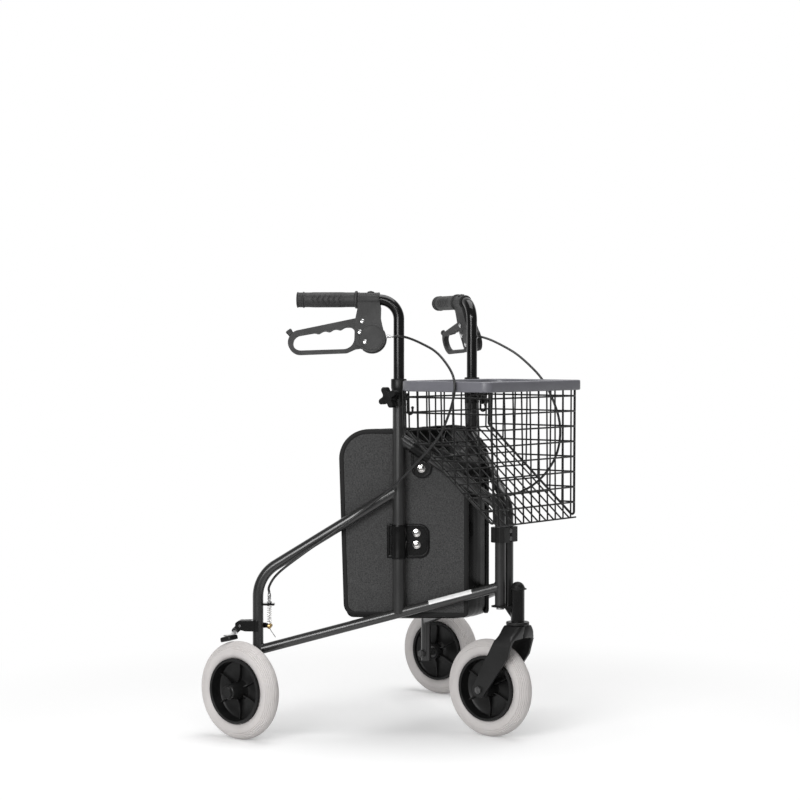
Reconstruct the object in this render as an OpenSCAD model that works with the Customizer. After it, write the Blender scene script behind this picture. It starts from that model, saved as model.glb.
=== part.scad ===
// Three wheel walking aid that folds: two side frames hinged at a front caster,
// brake handles that slide in the frames, a lift-off wire basket and a fabric bag.
// Lengths are millimetres. The walker's front is -Y, and the walker's right is -X.

/* [Wheels] */
// Diameter over the tyre
wheel_d = 200; // [190:1:210]
// Width of the tyre
tyre_w = 38; // [34:1:40]
// Diameter that the tyre sits on
rim_d = 133; // [126:1:138]
// Width of the hub's rim
rim_w = 40; // [36:1:44]
// Wall of the hub's rim
rim_wall = 6; // [4:0.5:9]
// Thickness of the hub's web and ribs
web_t = 4; // [3:0.5:6]
// Diameter of the hub's middle boss
boss_d = 34; // [32:1:40]
// Ribs on each hub
rib_count = 6; // [5:1:8]
// Diameter of the axles
axle_d = 10; // [8:1:12]
// Outer diameter of a wheel bearing
bearing_d = 26; // [22:1:28]
// Width of a wheel bearing
bearing_w = 8; // [6:1:10]
// Distance of a rear wheel's middle from its rear post's axis
wheel_out = 55.5; // [52:0.5:60]
// How far a rear hub reaches outboard of the wheel's middle
boss_out = 42; // [38:1:46]
// How far a hub reaches inboard of the wheel's middle
boss_in = 33; // [30:1:35]

/* [Side frames] */
// Angle of each side frame from straight back
splay = 33; // [31:0.5:35]
// Distance of each front post from the middle plane
post_half = 13.5; // [13:0.5:15]
// Distance from the front post back to the upright
upright_s = 207; // [200:1:215]
// Distance from the front post back to the rear post
rear_s = 497.5; // [490:0.5:505]
// Diameter of the upright tube
upright_d = 25.4; // [25:0.1:27]
// Wall of the upright tube
upright_wall = 1.4; // [1.2:0.1:1.5]
// Diameter of the bent frame tubes
frame_d = 22; // [20:0.5:22]
// Diameter of the lower tube
lower_d = 20; // [18:0.5:22]
// Wall of the frame tubes
tube_wall = 1.5; // [1:0.1:2]
// Height of the lower tube at the front post
lower_front_z = 311.5; // [305:0.5:318]
// Height of the lower tube at the rear post
lower_rear_z = 175; // [170:1:180]
// Height of the rear post's lower end
rear_bottom_z = 84; // [80:1:88]
// Height where the rear post's line meets the rear diagonal's line
rear_corner_z = 328; // [320:1:335]
// Height where the rear diagonal meets the upright
rear_joint_z = 508; // [500:1:515]
// Bend radius of the rear tube
rear_bend_r = 77; // [70:1:85]
// Height where the front post's line meets the front diagonal's line
front_corner_z = 475; // [470:1:480]
// Height where the front diagonal meets the upright
front_joint_z = 615; // [605:1:620]
// Bend radius of the front tube
front_bend_r = 42; // [38:1:60]
// Height of the upright's top
upright_top_z = 708; // [706:1:710]

/* [Front hinge and caster] */
// Height of the hinge plate's top
plate_top_z = 273.3; // [270:0.1:276]
// Thickness of the hinge plate
plate_t = 4; // [3:0.5:6]
// Distance from the posts forward to the caster's swivel axis
head_ahead = 33.5; // [32:0.5:36]
// Diameter of the head tube
head_d = 28; // [26:0.5:30]
// Height of the head tube's lower end
head_bottom_z = 243; // [241:0.5:246]
// Height of the head tube's upper end
head_top_z = 306; // [300:1:310]
// Height of the head cap's top
cap_top_z = 322; // [320:1:326]
// Diameter of the caster's stem
stem_d = 16; // [14:1:16]
// How far the caster's axle trails behind the swivel axis
caster_trail = 68.5; // [62:0.5:72]
// Diameter of the fork's crown
crown_d = 47; // [42:1:50]
// Gap between the fork's legs
fork_gap = 68; // [68:1:72]
// Thickness of a fork leg
fork_leg_t = 6; // [5:0.5:8]
// Height of the upper hinge clamp's middle
clamp_z = 417; // [412:1:420]
// Height of the upper hinge clamp
clamp_h = 31; // [26:1:34]

/* [Handles] */
// Angle of each handle from straight back
handle_splay = 33; // [31:0.5:34]
// Height of the handle tubes' axes above the uprights' tops
handle_rise = 186; // [172:1:202]
// Diameter of the handle tubes
handle_d = 22; // [21:0.1:22]
// Bend radius of the handle tubes
handle_bend_r = 40; // [36:1:44]
// Length of a handle tube behind the upright
handle_reach = 204; // [190:1:206]
// Height of the handle tube's end inside the upright
handle_inset_z = 540; // [530:1:560]
// Diameter of the grip
grip_d = 31; // [29:0.5:33]
// Where the grip starts behind the upright
grip_start = 84.5; // [84:0.5:88]
// Where the grip ends behind the upright
grip_end = 208.5; // [206:0.5:212]
// Height of the clamping knobs
knob_z = 696; // [694:1:698]
// Diameter over a knob's lobes
knob_d = 46; // [42:1:46]
// Lobes on a knob
knob_lobes = 4; // [3:1:6]

/* [Brakes] */
// Outward lean of each brake lever
brake_tilt = 14; // [12:1:18]
// Width of the lever housing
housing_w = 24; // [22:1:28]
// Thickness of the brake lever
lever_t = 12; // [10:1:13]
// Diameter of the brake cable's casing
cable_d = 5; // [4:0.5:6]
// Diameter of the bare inner wire
wire_d = 1.6; // [1.2:0.1:2]
// Distance from the front post back to the cable's lower end
cable_s = 474; // [472:0.5:476]
// Height of the cable stop's middle
stop_z = 270; // [268:1:272]
// Distance from the front post back to the brake pivot
pivot_s = 533; // [531:1:535]
// Height of the brake pivot
pivot_z = 226; // [224:1:228]
// Gap between shoe and tyre with the brake off
shoe_gap = 2; // [1.8:0.1:3]
// Curls of the return spring
spring_curls = 8; // [6:1:9]
// Outer diameter of the return spring
spring_d = 10; // [9:0.5:11]
// Wire diameter of the return spring
spring_wire_d = 1.4; // [1.2:0.1:1.6]

/* [Basket] */
// Half width of the rim
rim_half = 170; // [168:1:171]
// How far the rim reaches ahead of the posts
rim_front = 79; // [79:1:82]
// How far the rim reaches behind the posts
rim_back = 152; // [150:1:152]
// Height of the rim's top
rim_top_z = 730; // [726:1:732]
// Height of the rim band
rim_h = 21; // [18:1:24]
// Thickness of the rim band
rim_t = 16; // [15:0.5:17]
// Half width of the cage between its side wires
cage_half = 150; // [149:0.5:151]
// Spacing of the cage's wires
mesh_pitch = 30; // [29:0.5:31]
// Spacing of the cage's level wires
level_pitch = 31.3; // [31:0.1:31.5]
// Number of level wires
level_count = 9; // [9:1:9]
// Diameter of the mesh wires
mesh_wire_d = 3; // [2.5:0.1:3]
// Diameter of the side wires
side_wire_d = 5; // [4:0.5:5]

/* [Bag] */
// Distance from the front post back to the bag's front edge
bag_front_s = 66; // [60:1:70]
// Distance from the front post back to the bag's rear edge
bag_back_s = 332; // [325:1:340]
// Height of the bag's bottom
bag_bottom_z = 246; // [242:1:252]
// Height of the bag panel's top
bag_top_z = 629; // [620:1:635]
// Thickness of a side panel
panel_t = 5; // [4:0.5:5]
// Thickness of the gusset
gusset_t = 3; // [2:0.5:4]

/* [Hidden] */
$fn = 64;

// Colours
graphite = "#4a4a4c";
gloss_black = "#161618";
soft_black = "#2c2c2f";
steel = "#b9babd";
brass = "#9a7a45";
tyre_grey = "#cdc8c4";
rim_grey = "#6c6c74";
cloth_grey = "#3f3e42";

// Clearances: welded or clamped pieces, pieces that pass each other, a shaft in its bore
weld_gap = 0.1;
run_gap = 0.3;
shaft_gap = 0.05;
// How far a cut runs past what it cuts
overrun = 1;
// How far a bent tube's runs reach into its bends, and how much thicker a bend is
bend_lap = 0.6;
bend_step = 0.04;

// Radii
wheel_r = wheel_d / 2;
rim_r = rim_d / 2;
boss_r = boss_d / 2;
axle_r = axle_d / 2;
bearing_r = bearing_d / 2;
upright_r = upright_d / 2;
frame_r = frame_d / 2;
lower_r = lower_d / 2;
head_r = head_d / 2;
stem_r = stem_d / 2;
handle_r = handle_d / 2;
grip_r = grip_d / 2;
cable_r = cable_d / 2;
mesh_r = mesh_wire_d / 2;
side_wire_r = side_wire_d / 2;

// The middle of the footprint is the origin, so the posts stand ahead of it
post_y = (rim_front - rear_s * cos(splay) - wheel_r) / 2;
upright_x = post_half + upright_s * sin(splay);
upright_y = post_y + upright_s * cos(splay);
rear_x = post_half + rear_s * sin(splay);
half_track = rear_x + wheel_out;
handle_z = upright_top_z + handle_rise;
axle_y = post_y + rear_s * cos(splay);
head_y = post_y - head_ahead;
caster_y = head_y + caster_trail;
lower_fall_share = (lower_rear_z - lower_front_z) / rear_s;
lower_upright_z = lower_front_z + lower_fall_share * upright_s;

// A point in the right side frame's plane, s behind the post and n outboard, as X and Y
function plan(s, n) = [
    -(post_half + s * sin(splay) + n * cos(splay)),
    post_y + s * cos(splay) - n * sin(splay)
];

// Frames of reference on the walker's right
module at_side() {
    translate([-post_half, post_y, 0])
        rotate([0, 0, 90 + splay])
            children();
}

module at_upright() {
    translate([-upright_x, upright_y, 0])
        children();
}

module at_handle() {
    translate([-upright_x, upright_y, handle_z])
        rotate([0, 0, 90 + handle_splay])
            children();
}

module at_brake() {
    at_handle()
        rotate([brake_tilt, 0, 0])
            children();
}

// Wheel axes: +Z is outboard
module at_rear_wheel() {
    translate([-half_track, axle_y, wheel_r])
        rotate([0, -90, 0])
            children();
}

module at_front_wheel() {
    translate([0, caster_y, wheel_r])
        rotate([0, -90, 0])
            children();
}

module on_left() {
    mirror([1, 0, 0])
        children();
}

// Outlines drawn in a frame's own X and Z, with their thickness centred on its Y
module upright_plate(t) {
    rotate([90, 0, 0])
        linear_extrude(t, center = true)
            children();
}

// A wall as thick as the radius or more leaves no hole
module ring(r, wall) {
    difference() {
        circle(r);
        if (wall < r)
            circle(r - wall);
    }
}

function unit(v) = v / norm(v);

// Round bar or tube along straight runs and round bends, through points in X and Z.
// The bends are a hair thicker and the runs end inside them, so that no two faces coincide.
module bent(points, bend_r, r, wall) {
    last = len(points) - 1;
    along = [for (i = [0:1:last - 1]) unit(points[i + 1] - points[i])];
    turn = [for (i = [0:1:last]) i == 0 || i == last ? 0 : acos(along[i - 1] * along[i])];
    reach = [for (a = turn) bend_r * tan(a / 2)];
    for (i = [0:1:last - 1]) {
        lap_in = i == 0 ? 0 : bend_lap;
        lap_out = i == last - 1 ? 0 : bend_lap;
        from = points[i] + (reach[i] - lap_in) * along[i];
        length = norm(points[i + 1] - points[i]) - reach[i] - reach[i + 1] + lap_in + lap_out;
        translate([from.x, 0, from.y])
            rotate([0, atan2(along[i].x, along[i].y), 0])
                linear_extrude(length)
                    ring(r, wall);
    }
    for (i = [1:1:last - 1]) {
        side = sign(cross(along[i - 1], along[i]));
        arc_in = points[i] - reach[i] * along[i - 1];
        arc_out = points[i] + reach[i] * along[i];
        centre = arc_in + side * bend_r * [-along[i - 1].y, along[i - 1].x];
        first = (side > 0 ? arc_in : arc_out) - centre;
        translate([centre.x, 0, centre.y])
            rotate([90, 0, 0])
                rotate([0, 0, atan2(first.y, first.x)])
                    rotate_extrude(angle = turn[i])
                        translate([bend_r, 0])
                            ring(r + bend_step, wall + 2 * bend_step);
    }
}

// One unbroken tube through points, with a sideways direction for each point
module swept_tube(points, sideways, r, sides) {
    last = len(points) - 1;
    ahead = [for (i = [0:1:last]) unit(points[min(i + 1, last)] - points[max(i - 1, 0)])];
    skin = [
        for (i = [0:1:last])
            let (u = unit(sideways[i] - (sideways[i] * ahead[i]) * ahead[i]), v = cross(ahead[i], u))
                for (j = [0:1:sides - 1])
                    points[i] + r * (cos(360 * j / sides) * u + sin(360 * j / sides) * v)
    ];
    walls = [
        for (i = [0:1:last - 1])
            for (j = [0:1:sides - 1])
                let (a = i * sides + j, b = i * sides + (j + 1) % sides)
                    each [[a, a + sides, b], [b, a + sides, b + sides]]
    ];
    caps = [
        for (j = [1:1:sides - 2])
            each [[0, j, j + 1], [last * sides, last * sides + j + 1, last * sides + j]]
    ];
    polyhedron(skin, concat(walls, caps));
}

// Smooth curve through points, with the given steps between each two
function curve_point(a, b, c, d, t) =
    (2 * b + (c - a) * t + (2 * a - 5 * b + 4 * c - d) * t ^ 2 + (3 * b - a - 3 * c + d) * t ^ 3) / 2;
function smooth(points, steps) = let (last = len(points) - 1) [
    for (i = [0:1:last - 1])
        for (k = [0:1:steps - 1])
            curve_point(points[max(i - 1, 0)], points[i], points[i + 1],
                points[min(i + 2, last)], k / steps),
    points[last]
];

// Wheels

module tyre_ring() {
    seat_half = tyre_w / 2 - mesh_r;
    rotate_extrude()
        intersection() {
            translate([rim_r, -tyre_w])
                square([wheel_r, 2 * tyre_w]);
            union() {
                translate([wheel_r - tyre_w / 2, 0])
                    circle(tyre_w / 2);
                translate([rim_r, -seat_half])
                    square([wheel_r - tyre_w / 2 - rim_r, 2 * seat_half]);
            }
        }
}

// A dished hub: rim, web towards the inboard side, ribs, and a boss bored for two bearings
module hub_body(out_reach, closed) {
    rim_in = rim_r - rim_wall;
    web_z = -rim_w / 4;
    rib_top_z = rim_w / 4;
    cap_t = closed ? web_t : 0;
    difference() {
        union() {
            rotate_extrude() {
                translate([rim_in, -rim_w / 2])
                    square([rim_wall - weld_gap, rim_w]);
                translate([boss_r - web_t, web_z])
                    square([rim_in + rim_wall / 2 - boss_r + web_t, web_t]);
                translate([0, -boss_in])
                    square([boss_r, boss_in + out_reach]);
            }
            for (i = [0:1:rib_count - 1])
                rotate([0, 0, 360 * i / rib_count])
                    translate([boss_r - web_t, -web_t / 2, web_z])
                        cube([rim_in + rim_wall / 2 - boss_r + web_t, web_t, rib_top_z - web_z]);
        }
        translate([0, 0, -boss_in - overrun])
            cylinder(r = bearing_r, h = boss_in + out_reach - cap_t + (closed ? overrun : 2 * overrun));
    }
}

module bearing_pair(low_z, high_z) {
    for (z = [low_z, high_z - bearing_w])
        translate([0, 0, z])
            linear_extrude(bearing_w)
                difference() {
                    circle(bearing_r - shaft_gap);
                    circle(axle_r + shaft_gap);
                }
}

head_room = 14;
bearing_lip = 2;

module rear_tyre() {
    color(tyre_grey)
        at_rear_wheel()
            tyre_ring();
}

module rear_hub() {
    color(gloss_black)
        at_rear_wheel()
            hub_body(boss_out, true);
}

module rear_bearings() {
    color(steel)
        at_rear_wheel()
            bearing_pair(bearing_lip - boss_in, boss_out - head_room);
}

module front_tyre() {
    color(tyre_grey)
        at_front_wheel()
            tyre_ring();
}

module front_hub() {
    color(gloss_black)
        at_front_wheel()
            hub_body(boss_in, false);
}

module front_bearings() {
    color(steel)
        at_front_wheel()
            bearing_pair(bearing_lip - boss_in, boss_in - bearing_lip);
}

// Rear axle: a bolt from inside the hub's cap, through both bearings and the rear post, to its nut
bolt_head_r = 8;
bolt_head_h = 6;
nut_r = 9;
nut_h = 8;
washer_h = 2;

module rear_axle() {
    post_out = half_track - rear_x - frame_r;
    hub_inner = boss_in - bearing_lip;
    color(steel)
        at_rear_wheel() {
            inner_end = rear_x - half_track - frame_r - washer_h - nut_h - bearing_lip;
            head_z = boss_out - head_room + run_gap;
            translate([0, 0, inner_end])
                cylinder(r = axle_r, h = head_z - inner_end + overrun);
            translate([0, 0, head_z])
                cylinder(r = bolt_head_r, h = bolt_head_h);
            translate([0, 0, -post_out + weld_gap])
                cylinder(r = bolt_head_r, h = post_out - hub_inner - run_gap - weld_gap);
            translate([0, 0, inner_end + bearing_lip])
                cylinder(r = nut_r, h = nut_h, $fn = 6);
            translate([0, 0, inner_end + bearing_lip + nut_h])
                cylinder(r = nut_r, h = washer_h - weld_gap);
        }
}

// Side frame tubes

module upright_bore(r) {
    at_side()
        translate([upright_s, 0, 0])
            cylinder(r = r, h = handle_z);
}

module lower_run(r, wall) {
    at_side()
        bent([[0, lower_front_z], [rear_s, lower_rear_z]], frame_r, r, wall);
}

module lower_tube() {
    color(graphite)
        difference() {
            lower_run(lower_r, tube_wall);
            at_side()
                for (s = [0, rear_s])
                    translate([s, 0, 0])
                        cylinder(r = frame_r + weld_gap, h = front_corner_z);
        }
}

module stud_hole(r) {
    at_upright()
        translate([0, 0, knob_z])
            rotate([0, -90, 0])
                cylinder(r = r, h = knob_d);
}

module upright_tube() {
    color(graphite)
        difference() {
            at_side()
                translate([upright_s, 0, lower_upright_z])
                    linear_extrude(upright_top_z - lower_upright_z)
                        ring(upright_r, upright_wall);
            lower_run(lower_r + weld_gap, lower_d);
            stud_hole(stud_r + run_gap);
        }
}

module rear_tube() {
    color(graphite)
        difference() {
            at_side()
                bent([[rear_s, rear_bottom_z], [rear_s, rear_corner_z], [upright_s, rear_joint_z]],
                    rear_bend_r, frame_r, tube_wall);
            upright_bore(upright_r + weld_gap);
            translate([-rear_x, axle_y, wheel_r])
                rotate([0, 90, 0])
                    cylinder(r = axle_r + shaft_gap, h = 2 * frame_d, center = true);
        }
}

module front_tube() {
    color(graphite)
        difference() {
            at_side()
                bent([[0, plate_top_z + run_gap], [0, front_corner_z], [upright_s, front_joint_z]],
                    front_bend_r, frame_r, tube_wall);
            upright_bore(upright_r + weld_gap);
        }
}

// Height collar with its knob boss and basket hook
collar_r = 15.5;
collar_bottom_z = 678;
flange_r = 16;
flange_z = 715;
flange_top_z = 733;
knob_boss_r = 9;
knob_boss_reach = 21;
hook_r = 2.2;
hook_bend = 6.2;
hook_ball_r = 3.2;
hook_arm_z = 693;
hook_bottom_z = 661.7;
hook_tip_z = 675;
hook_near = 22.7;
hook_far = 35.2;
stud_r = 4;
stud_stand = 1.5;

module height_collar() {
    seat_h = upright_top_z - collar_bottom_z + weld_gap;
    color(gloss_black)
        difference() {
            at_upright() {
                translate([0, 0, collar_bottom_z])
                    cylinder(r = collar_r, h = flange_z - collar_bottom_z + overrun);
                translate([0, 0, flange_z])
                    cylinder(r = flange_r, h = flange_top_z - flange_z);
                translate([0, 0, knob_z])
                    rotate([0, -90, 0])
                        cylinder(r = knob_boss_r, h = knob_boss_reach);
                rotate([0, 0, -90]) {
                    bent([
                        [upright_r + weld_gap, hook_arm_z], [hook_near, hook_arm_z],
                        [hook_near, hook_bottom_z], [hook_far, hook_bottom_z], [hook_far, hook_tip_z]
                    ], hook_bend, hook_r, 2 * hook_r);
                    translate([hook_far, 0, hook_tip_z])
                        sphere(hook_ball_r);
                }
            }
            at_upright() {
                translate([0, 0, collar_bottom_z - overrun])
                    cylinder(r = upright_r + weld_gap, h = seat_h + overrun);
                cylinder(r = handle_r + run_gap, h = handle_z);
            }
            stud_hole(stud_r + shaft_gap);
        }
}

// Clamping knob, pointing straight out to the side, with its stud backed off from the upright
knob_neck_r = 8;
knob_start = 26;
knob_t = 14;
knob_hub_r = 11.5;
lobe_r = 6;
lobe_arm = 11;

module knob() {
    lobe_mid = knob_d / 2 - lobe_r;
    color(gloss_black)
        at_upright()
            translate([0, 0, knob_z])
                rotate([0, -90, 0]) {
                    translate([0, 0, upright_r + stud_stand])
                        cylinder(r = stud_r, h = knob_start + knob_t / 4 - upright_r);
                    translate([0, 0, knob_boss_reach + run_gap])
                        cylinder(r = knob_neck_r, h = knob_start - knob_boss_reach);
                    translate([0, 0, knob_start])
                        linear_extrude(knob_t) {
                            circle(knob_hub_r);
                            for (i = [0:1:knob_lobes - 1])
                                rotate(360 * (i + 1 / 3) / knob_lobes) {
                                    translate([0, -lobe_arm / 2])
                                        square([lobe_mid, lobe_arm]);
                                    translate([lobe_mid, 0])
                                        circle(lobe_r);
                                }
                        }
                }
}

// Handles

module handle_tube() {
    color(gloss_black)
        at_handle()
            bent([[0, handle_inset_z - handle_z], [0, 0], [handle_reach, 0]],
                handle_bend_r, handle_r, tube_wall);
}

grip_flange_r = 17;
grip_flange_t = 4;
grip_end_r = 16.5;
grip_end_t = 11;

module grip() {
    color(soft_black)
        at_handle()
            rotate([0, 90, 0])
                difference() {
                    union() {
                        translate([0, 0, grip_start])
                            cylinder(r = grip_flange_r, h = grip_flange_t);
                        translate([0, 0, grip_start])
                            cylinder(r = grip_r, h = grip_end - grip_start - grip_end_t + overrun);
                        translate([0, 0, grip_end - grip_end_t])
                            cylinder(r = grip_end_r, h = grip_end_t);
                    }
                    cylinder(r = handle_r + weld_gap, h = handle_reach + weld_gap);
                }
}

// Brake lever housing: a clamp on the handle tube over a neck and a round body, with a slot for the lever
housing_start = 40.5;
housing_end = 84;
housing_clamp_r = 15;
body_at = [53.3, -80.8];
body_r = 29.4;
lever_pin_at = [72.2, -48.5];
lever_pin_r = 3;
screw_spots = [[76.9, -70.9], [65.6, -91.4]];
screw_r = 2;
rivet_r = 5;
rivet_h = 2.2;
slot_start = 60;
slot_top = 30;
neck_outline = [
    [housing_start, 0], [housing_end, 0], [83, -21.7], [87.3, -45.6], [87.7, -66.5], [83.1, -97.8],
    [71.3, -102.2], body_at, [29.5, -66], [33.4, -51.6], [36.7, -36.7], [39.5, -17]
];
bump_s = 57.5;
bump_r = 7;
bump_h = 2.5;

module brake_housing() {
    color(soft_black)
        at_brake()
            difference() {
                union() {
                    translate([housing_start, 0, 0])
                        rotate([0, 90, 0])
                            cylinder(r = housing_clamp_r, h = housing_end - housing_start);
                    upright_plate(housing_w) {
                        polygon(neck_outline);
                        translate(body_at)
                            circle(body_r);
                    }
                    translate([bump_s, 0, 0])
                        cylinder(r = bump_r, h = housing_clamp_r + bump_h);
                }
                rotate([0, 90, 0])
                    cylinder(r = handle_r + weld_gap, h = handle_reach);
                translate([slot_start, -lever_t / 2 - run_gap, -handle_reach - slot_top])
                    cube([handle_reach, lever_t + 2 * run_gap, handle_reach]);
                upright_plate(2 * housing_w)
                    translate(lever_pin_at)
                        circle(lever_pin_r + weld_gap);
                for (spot = screw_spots)
                    translate([spot.x, lever_t / 2, spot.y])
                        rotate([-90, 0, 0])
                            cylinder(r = screw_r + weld_gap, h = housing_w);
                translate([barrel_end, 0, -barrel_d])
                    rotate([0, 90, 0])
                        cylinder(r = barrel_r + weld_gap, h = barrel_seat + weld_gap - barrel_end);
            }
}

// Lever pin, two screws with round heads, and the barrel that the cable leaves by
barrel_d = 76.9;
barrel_r = 3.5;
barrel_mid = 20;
barrel_seat = 28;
barrel_tip_r = 2.6;
barrel_end = 9;

module housing_fittings() {
    color(steel)
        at_brake() {
            upright_plate(housing_w)
                translate(lever_pin_at)
                    circle(lever_pin_r);
            for (spot = concat([lever_pin_at], screw_spots))
                translate([spot.x, housing_w / 2 + weld_gap, spot.y])
                    rotate([-90, 0, 0])
                        cylinder(r = rivet_r, h = rivet_h);
            translate([lever_pin_at.x, housing_w / 2 - overrun, lever_pin_at.y])
                rotate([-90, 0, 0])
                    cylinder(r = lever_pin_r, h = 2 * overrun);
            for (spot = screw_spots)
                translate([spot.x, lever_t / 2 + 2 * run_gap, spot.y])
                    rotate([-90, 0, 0])
                        cylinder(r = screw_r, h = (housing_w - lever_t) / 2);
            translate([barrel_mid, 0, -barrel_d])
                rotate([0, 90, 0])
                    cylinder(r = barrel_r, h = barrel_seat - barrel_mid);
            translate([barrel_end, 0, -barrel_d])
                rotate([0, 90, 0])
                    cylinder(r = barrel_tip_r, h = barrel_mid - barrel_end + overrun);
        }
}

// Loop lever: outer outline, finger opening with bumps between the fingers, and a stub at the end
lever_outline = [
    [63, -41], [88, -40.4], [210, -66.4], [222, -72.5], [224.5, -84], [219, -99], [208, -112], [200, -115.1],
    [103.7, -111.2], [86.5, -103.1], [70, -101], [63, -60]
];
lever_opening = [
    [105.5, -57.6], [198.5, -74.6], [213.7, -90.3], [206, -107.8], [110, -104.6], [88.2, -83], [88.2, -68]
];
lever_round = 6;
lever_stub_at = [222.5, -67.8];
lever_stub_r = 5.5;
finger_bumps = [[118, -56], [140, -60], [162, -64]];
finger_bump_r = 7;

module brake_lever() {
    color(soft_black)
        at_brake()
            difference() {
                upright_plate(lever_t)
                    difference() {
                        union() {
                            offset(lever_round, $fn = 24)
                                offset(-lever_round)
                                    polygon(lever_outline);
                            translate(lever_stub_at)
                                circle(lever_stub_r, $fn = 24);
                        }
                        difference() {
                            offset(lever_round, $fn = 24)
                                offset(-lever_round)
                                    polygon(lever_opening);
                            for (spot = finger_bumps)
                                translate(spot)
                                    circle(finger_bump_r, $fn = 24);
                        }
                    }
                translate([lever_pin_at.x, 0, lever_pin_at.y])
                    rotate([90, 0, 0])
                        cylinder(r = lever_pin_r + shaft_gap, h = housing_w, center = true);
            }
}

// Brake cables: X counts outboard, and Y back from the posts
barrel_out = barrel_d * sin(brake_tilt);
barrel_down = barrel_d * cos(brake_tilt);
function barrel_point(s) = [
    upright_x + s * sin(handle_splay) + barrel_out * cos(handle_splay),
    upright_y - post_y + s * cos(handle_splay) - barrel_out * sin(handle_splay),
    handle_z - barrel_down
];
adjuster_top_z = 293;
function cable_end(z) = [post_half + cable_s * sin(splay), cable_s * cos(splay), z];
right_route = [
    [143, 136, 816], [154, 97, 806], [165, 51, 789], [173, 17, 764], [176, -2, 737], [177, -4, 705],
    [174, 15, 657], [169, 45, 614], [161, 106, 562], [158, 166, 514], [193, 249, 444], [248, 333, 372],
    [270, 376, 334]
];
left_route = [
    [145, 139, 813], [153, 114, 801], [163, 84, 783], [172, 55, 758], [176, 29, 732], [177, 6, 698],
    [177, -14, 652], [177, -18, 610], [175, -8, 567], [172, 20, 527], [167, 62, 496], [162, 120, 478],
    [167, 185, 475], [193, 249, 444], [248, 333, 372], [270, 376, 334]
];
cable_steps = 4;
// Gap at the cable's ends, and its straight lead into each of them
cable_seat = 0.6;
cable_lead = 14;
cable_sides = 8;

module brake_cable(route) {
    points = smooth(concat(
        [barrel_point(barrel_end - cable_seat), barrel_point(barrel_end - cable_lead)],
        route,
        [cable_end(adjuster_top_z + cable_lead), cable_end(adjuster_top_z + cable_seat)]
    ), cable_steps);
    color(gloss_black)
        translate([0, post_y, 0])
            mirror([1, 0, 0])
                swept_tube(points, [for (p = points) [1, 0, 0]], cable_r, cable_sides);
}

// Cable stop, brake bracket and what hangs between them
stop_t = 4;
stop_half = 8;
stop_reach = 11;
band_r = 14;
band_h = 22;
band_z = 215;
ear_n = 14.2;
ear_t = 5;
ear_r = 10;
pivot_r = 4;
pivot_head_r = 6.5;
pivot_head_h = 3;
arm_n = 14.5;
arm_t = 4;

module brake_bracket() {
    color(gloss_black)
        at_side() {
            difference() {
                translate([cable_s - stop_reach, -stop_half, stop_z - stop_t / 2])
                    cube([rear_s - cable_s + stop_reach, 2 * stop_half, stop_t]);
                translate([rear_s, 0, 0])
                    cylinder(r = frame_r + weld_gap, h = front_corner_z);
                translate([cable_s, 0, 0])
                    cylinder(r = thread_r + weld_gap, h = front_corner_z);
            }
            difference() {
                union() {
                    translate([rear_s, 0, band_z])
                        cylinder(r = band_r, h = band_h);
                    translate([rear_s, -ear_n, band_z])
                        cube([pivot_s - rear_s, ear_t, band_h]);
                    translate([pivot_s, -ear_n, pivot_z])
                        rotate([-90, 0, 0])
                            cylinder(r = ear_r, h = ear_t);
                }
                translate([rear_s, 0, 0])
                    cylinder(r = frame_r + weld_gap, h = front_corner_z);
            }
            translate([pivot_s, ear_t / 2 - ear_n, pivot_z])
                rotate([90, 0, 0])
                    cylinder(r = pivot_r, h = arm_n + arm_t + run_gap - ear_n + ear_t / 2);
            translate([pivot_s, -arm_n - arm_t - run_gap, pivot_z])
                rotate([90, 0, 0])
                    cylinder(r = pivot_head_r, h = pivot_head_h);
        }
}

thread_r = 2.5;
adjuster_r = 3.6;
lock_nut_r = 5;
lock_nut_h = 4;
wire_bore_r = 1.3;

module cable_adjuster() {
    color(steel)
        at_side()
            translate([cable_s, 0, 0])
                difference() {
                    union() {
                        translate([0, 0, stop_z - stop_t / 2])
                            cylinder(r = thread_r, h = adjuster_top_z - stop_z);
                        translate([0, 0, stop_z + stop_t / 2 + weld_gap])
                            cylinder(r = lock_nut_r, h = lock_nut_h, $fn = 6);
                        translate([0, 0, stop_z + stop_t + lock_nut_h])
                            cylinder(r = adjuster_r, h = adjuster_top_z - stop_z - stop_t - lock_nut_h);
                    }
                    translate([0, 0, stop_z - stop_t])
                        cylinder(r = wire_bore_r, h = adjuster_top_z - stop_z);
                }
}

// Brass clamp on the inner wire, with the wire above it, clear of the stop, and its cut end below
cable_clamp_z = 224;
cable_clamp_r = 4.5;
cable_clamp_half = 4;
wire_room = 6;
tail_at = [-13, -22];

module cable_clamp() {
    color(brass)
        at_side()
            translate([cable_s, 0, cable_clamp_z]) {
                rotate([90, 0, 0])
                    cylinder(r = cable_clamp_r, h = 2 * cable_clamp_half, center = true);
                cylinder(r = wire_d / 2, h = stop_z - stop_t / 2 - wire_room - cable_clamp_z);
                rotate([0, 180 + atan2(tail_at.x, tail_at.y), 0])
                    mirror([0, 0, 1])
                        cylinder(r = wire_d / 2, h = norm(tail_at));
            }
}

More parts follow.
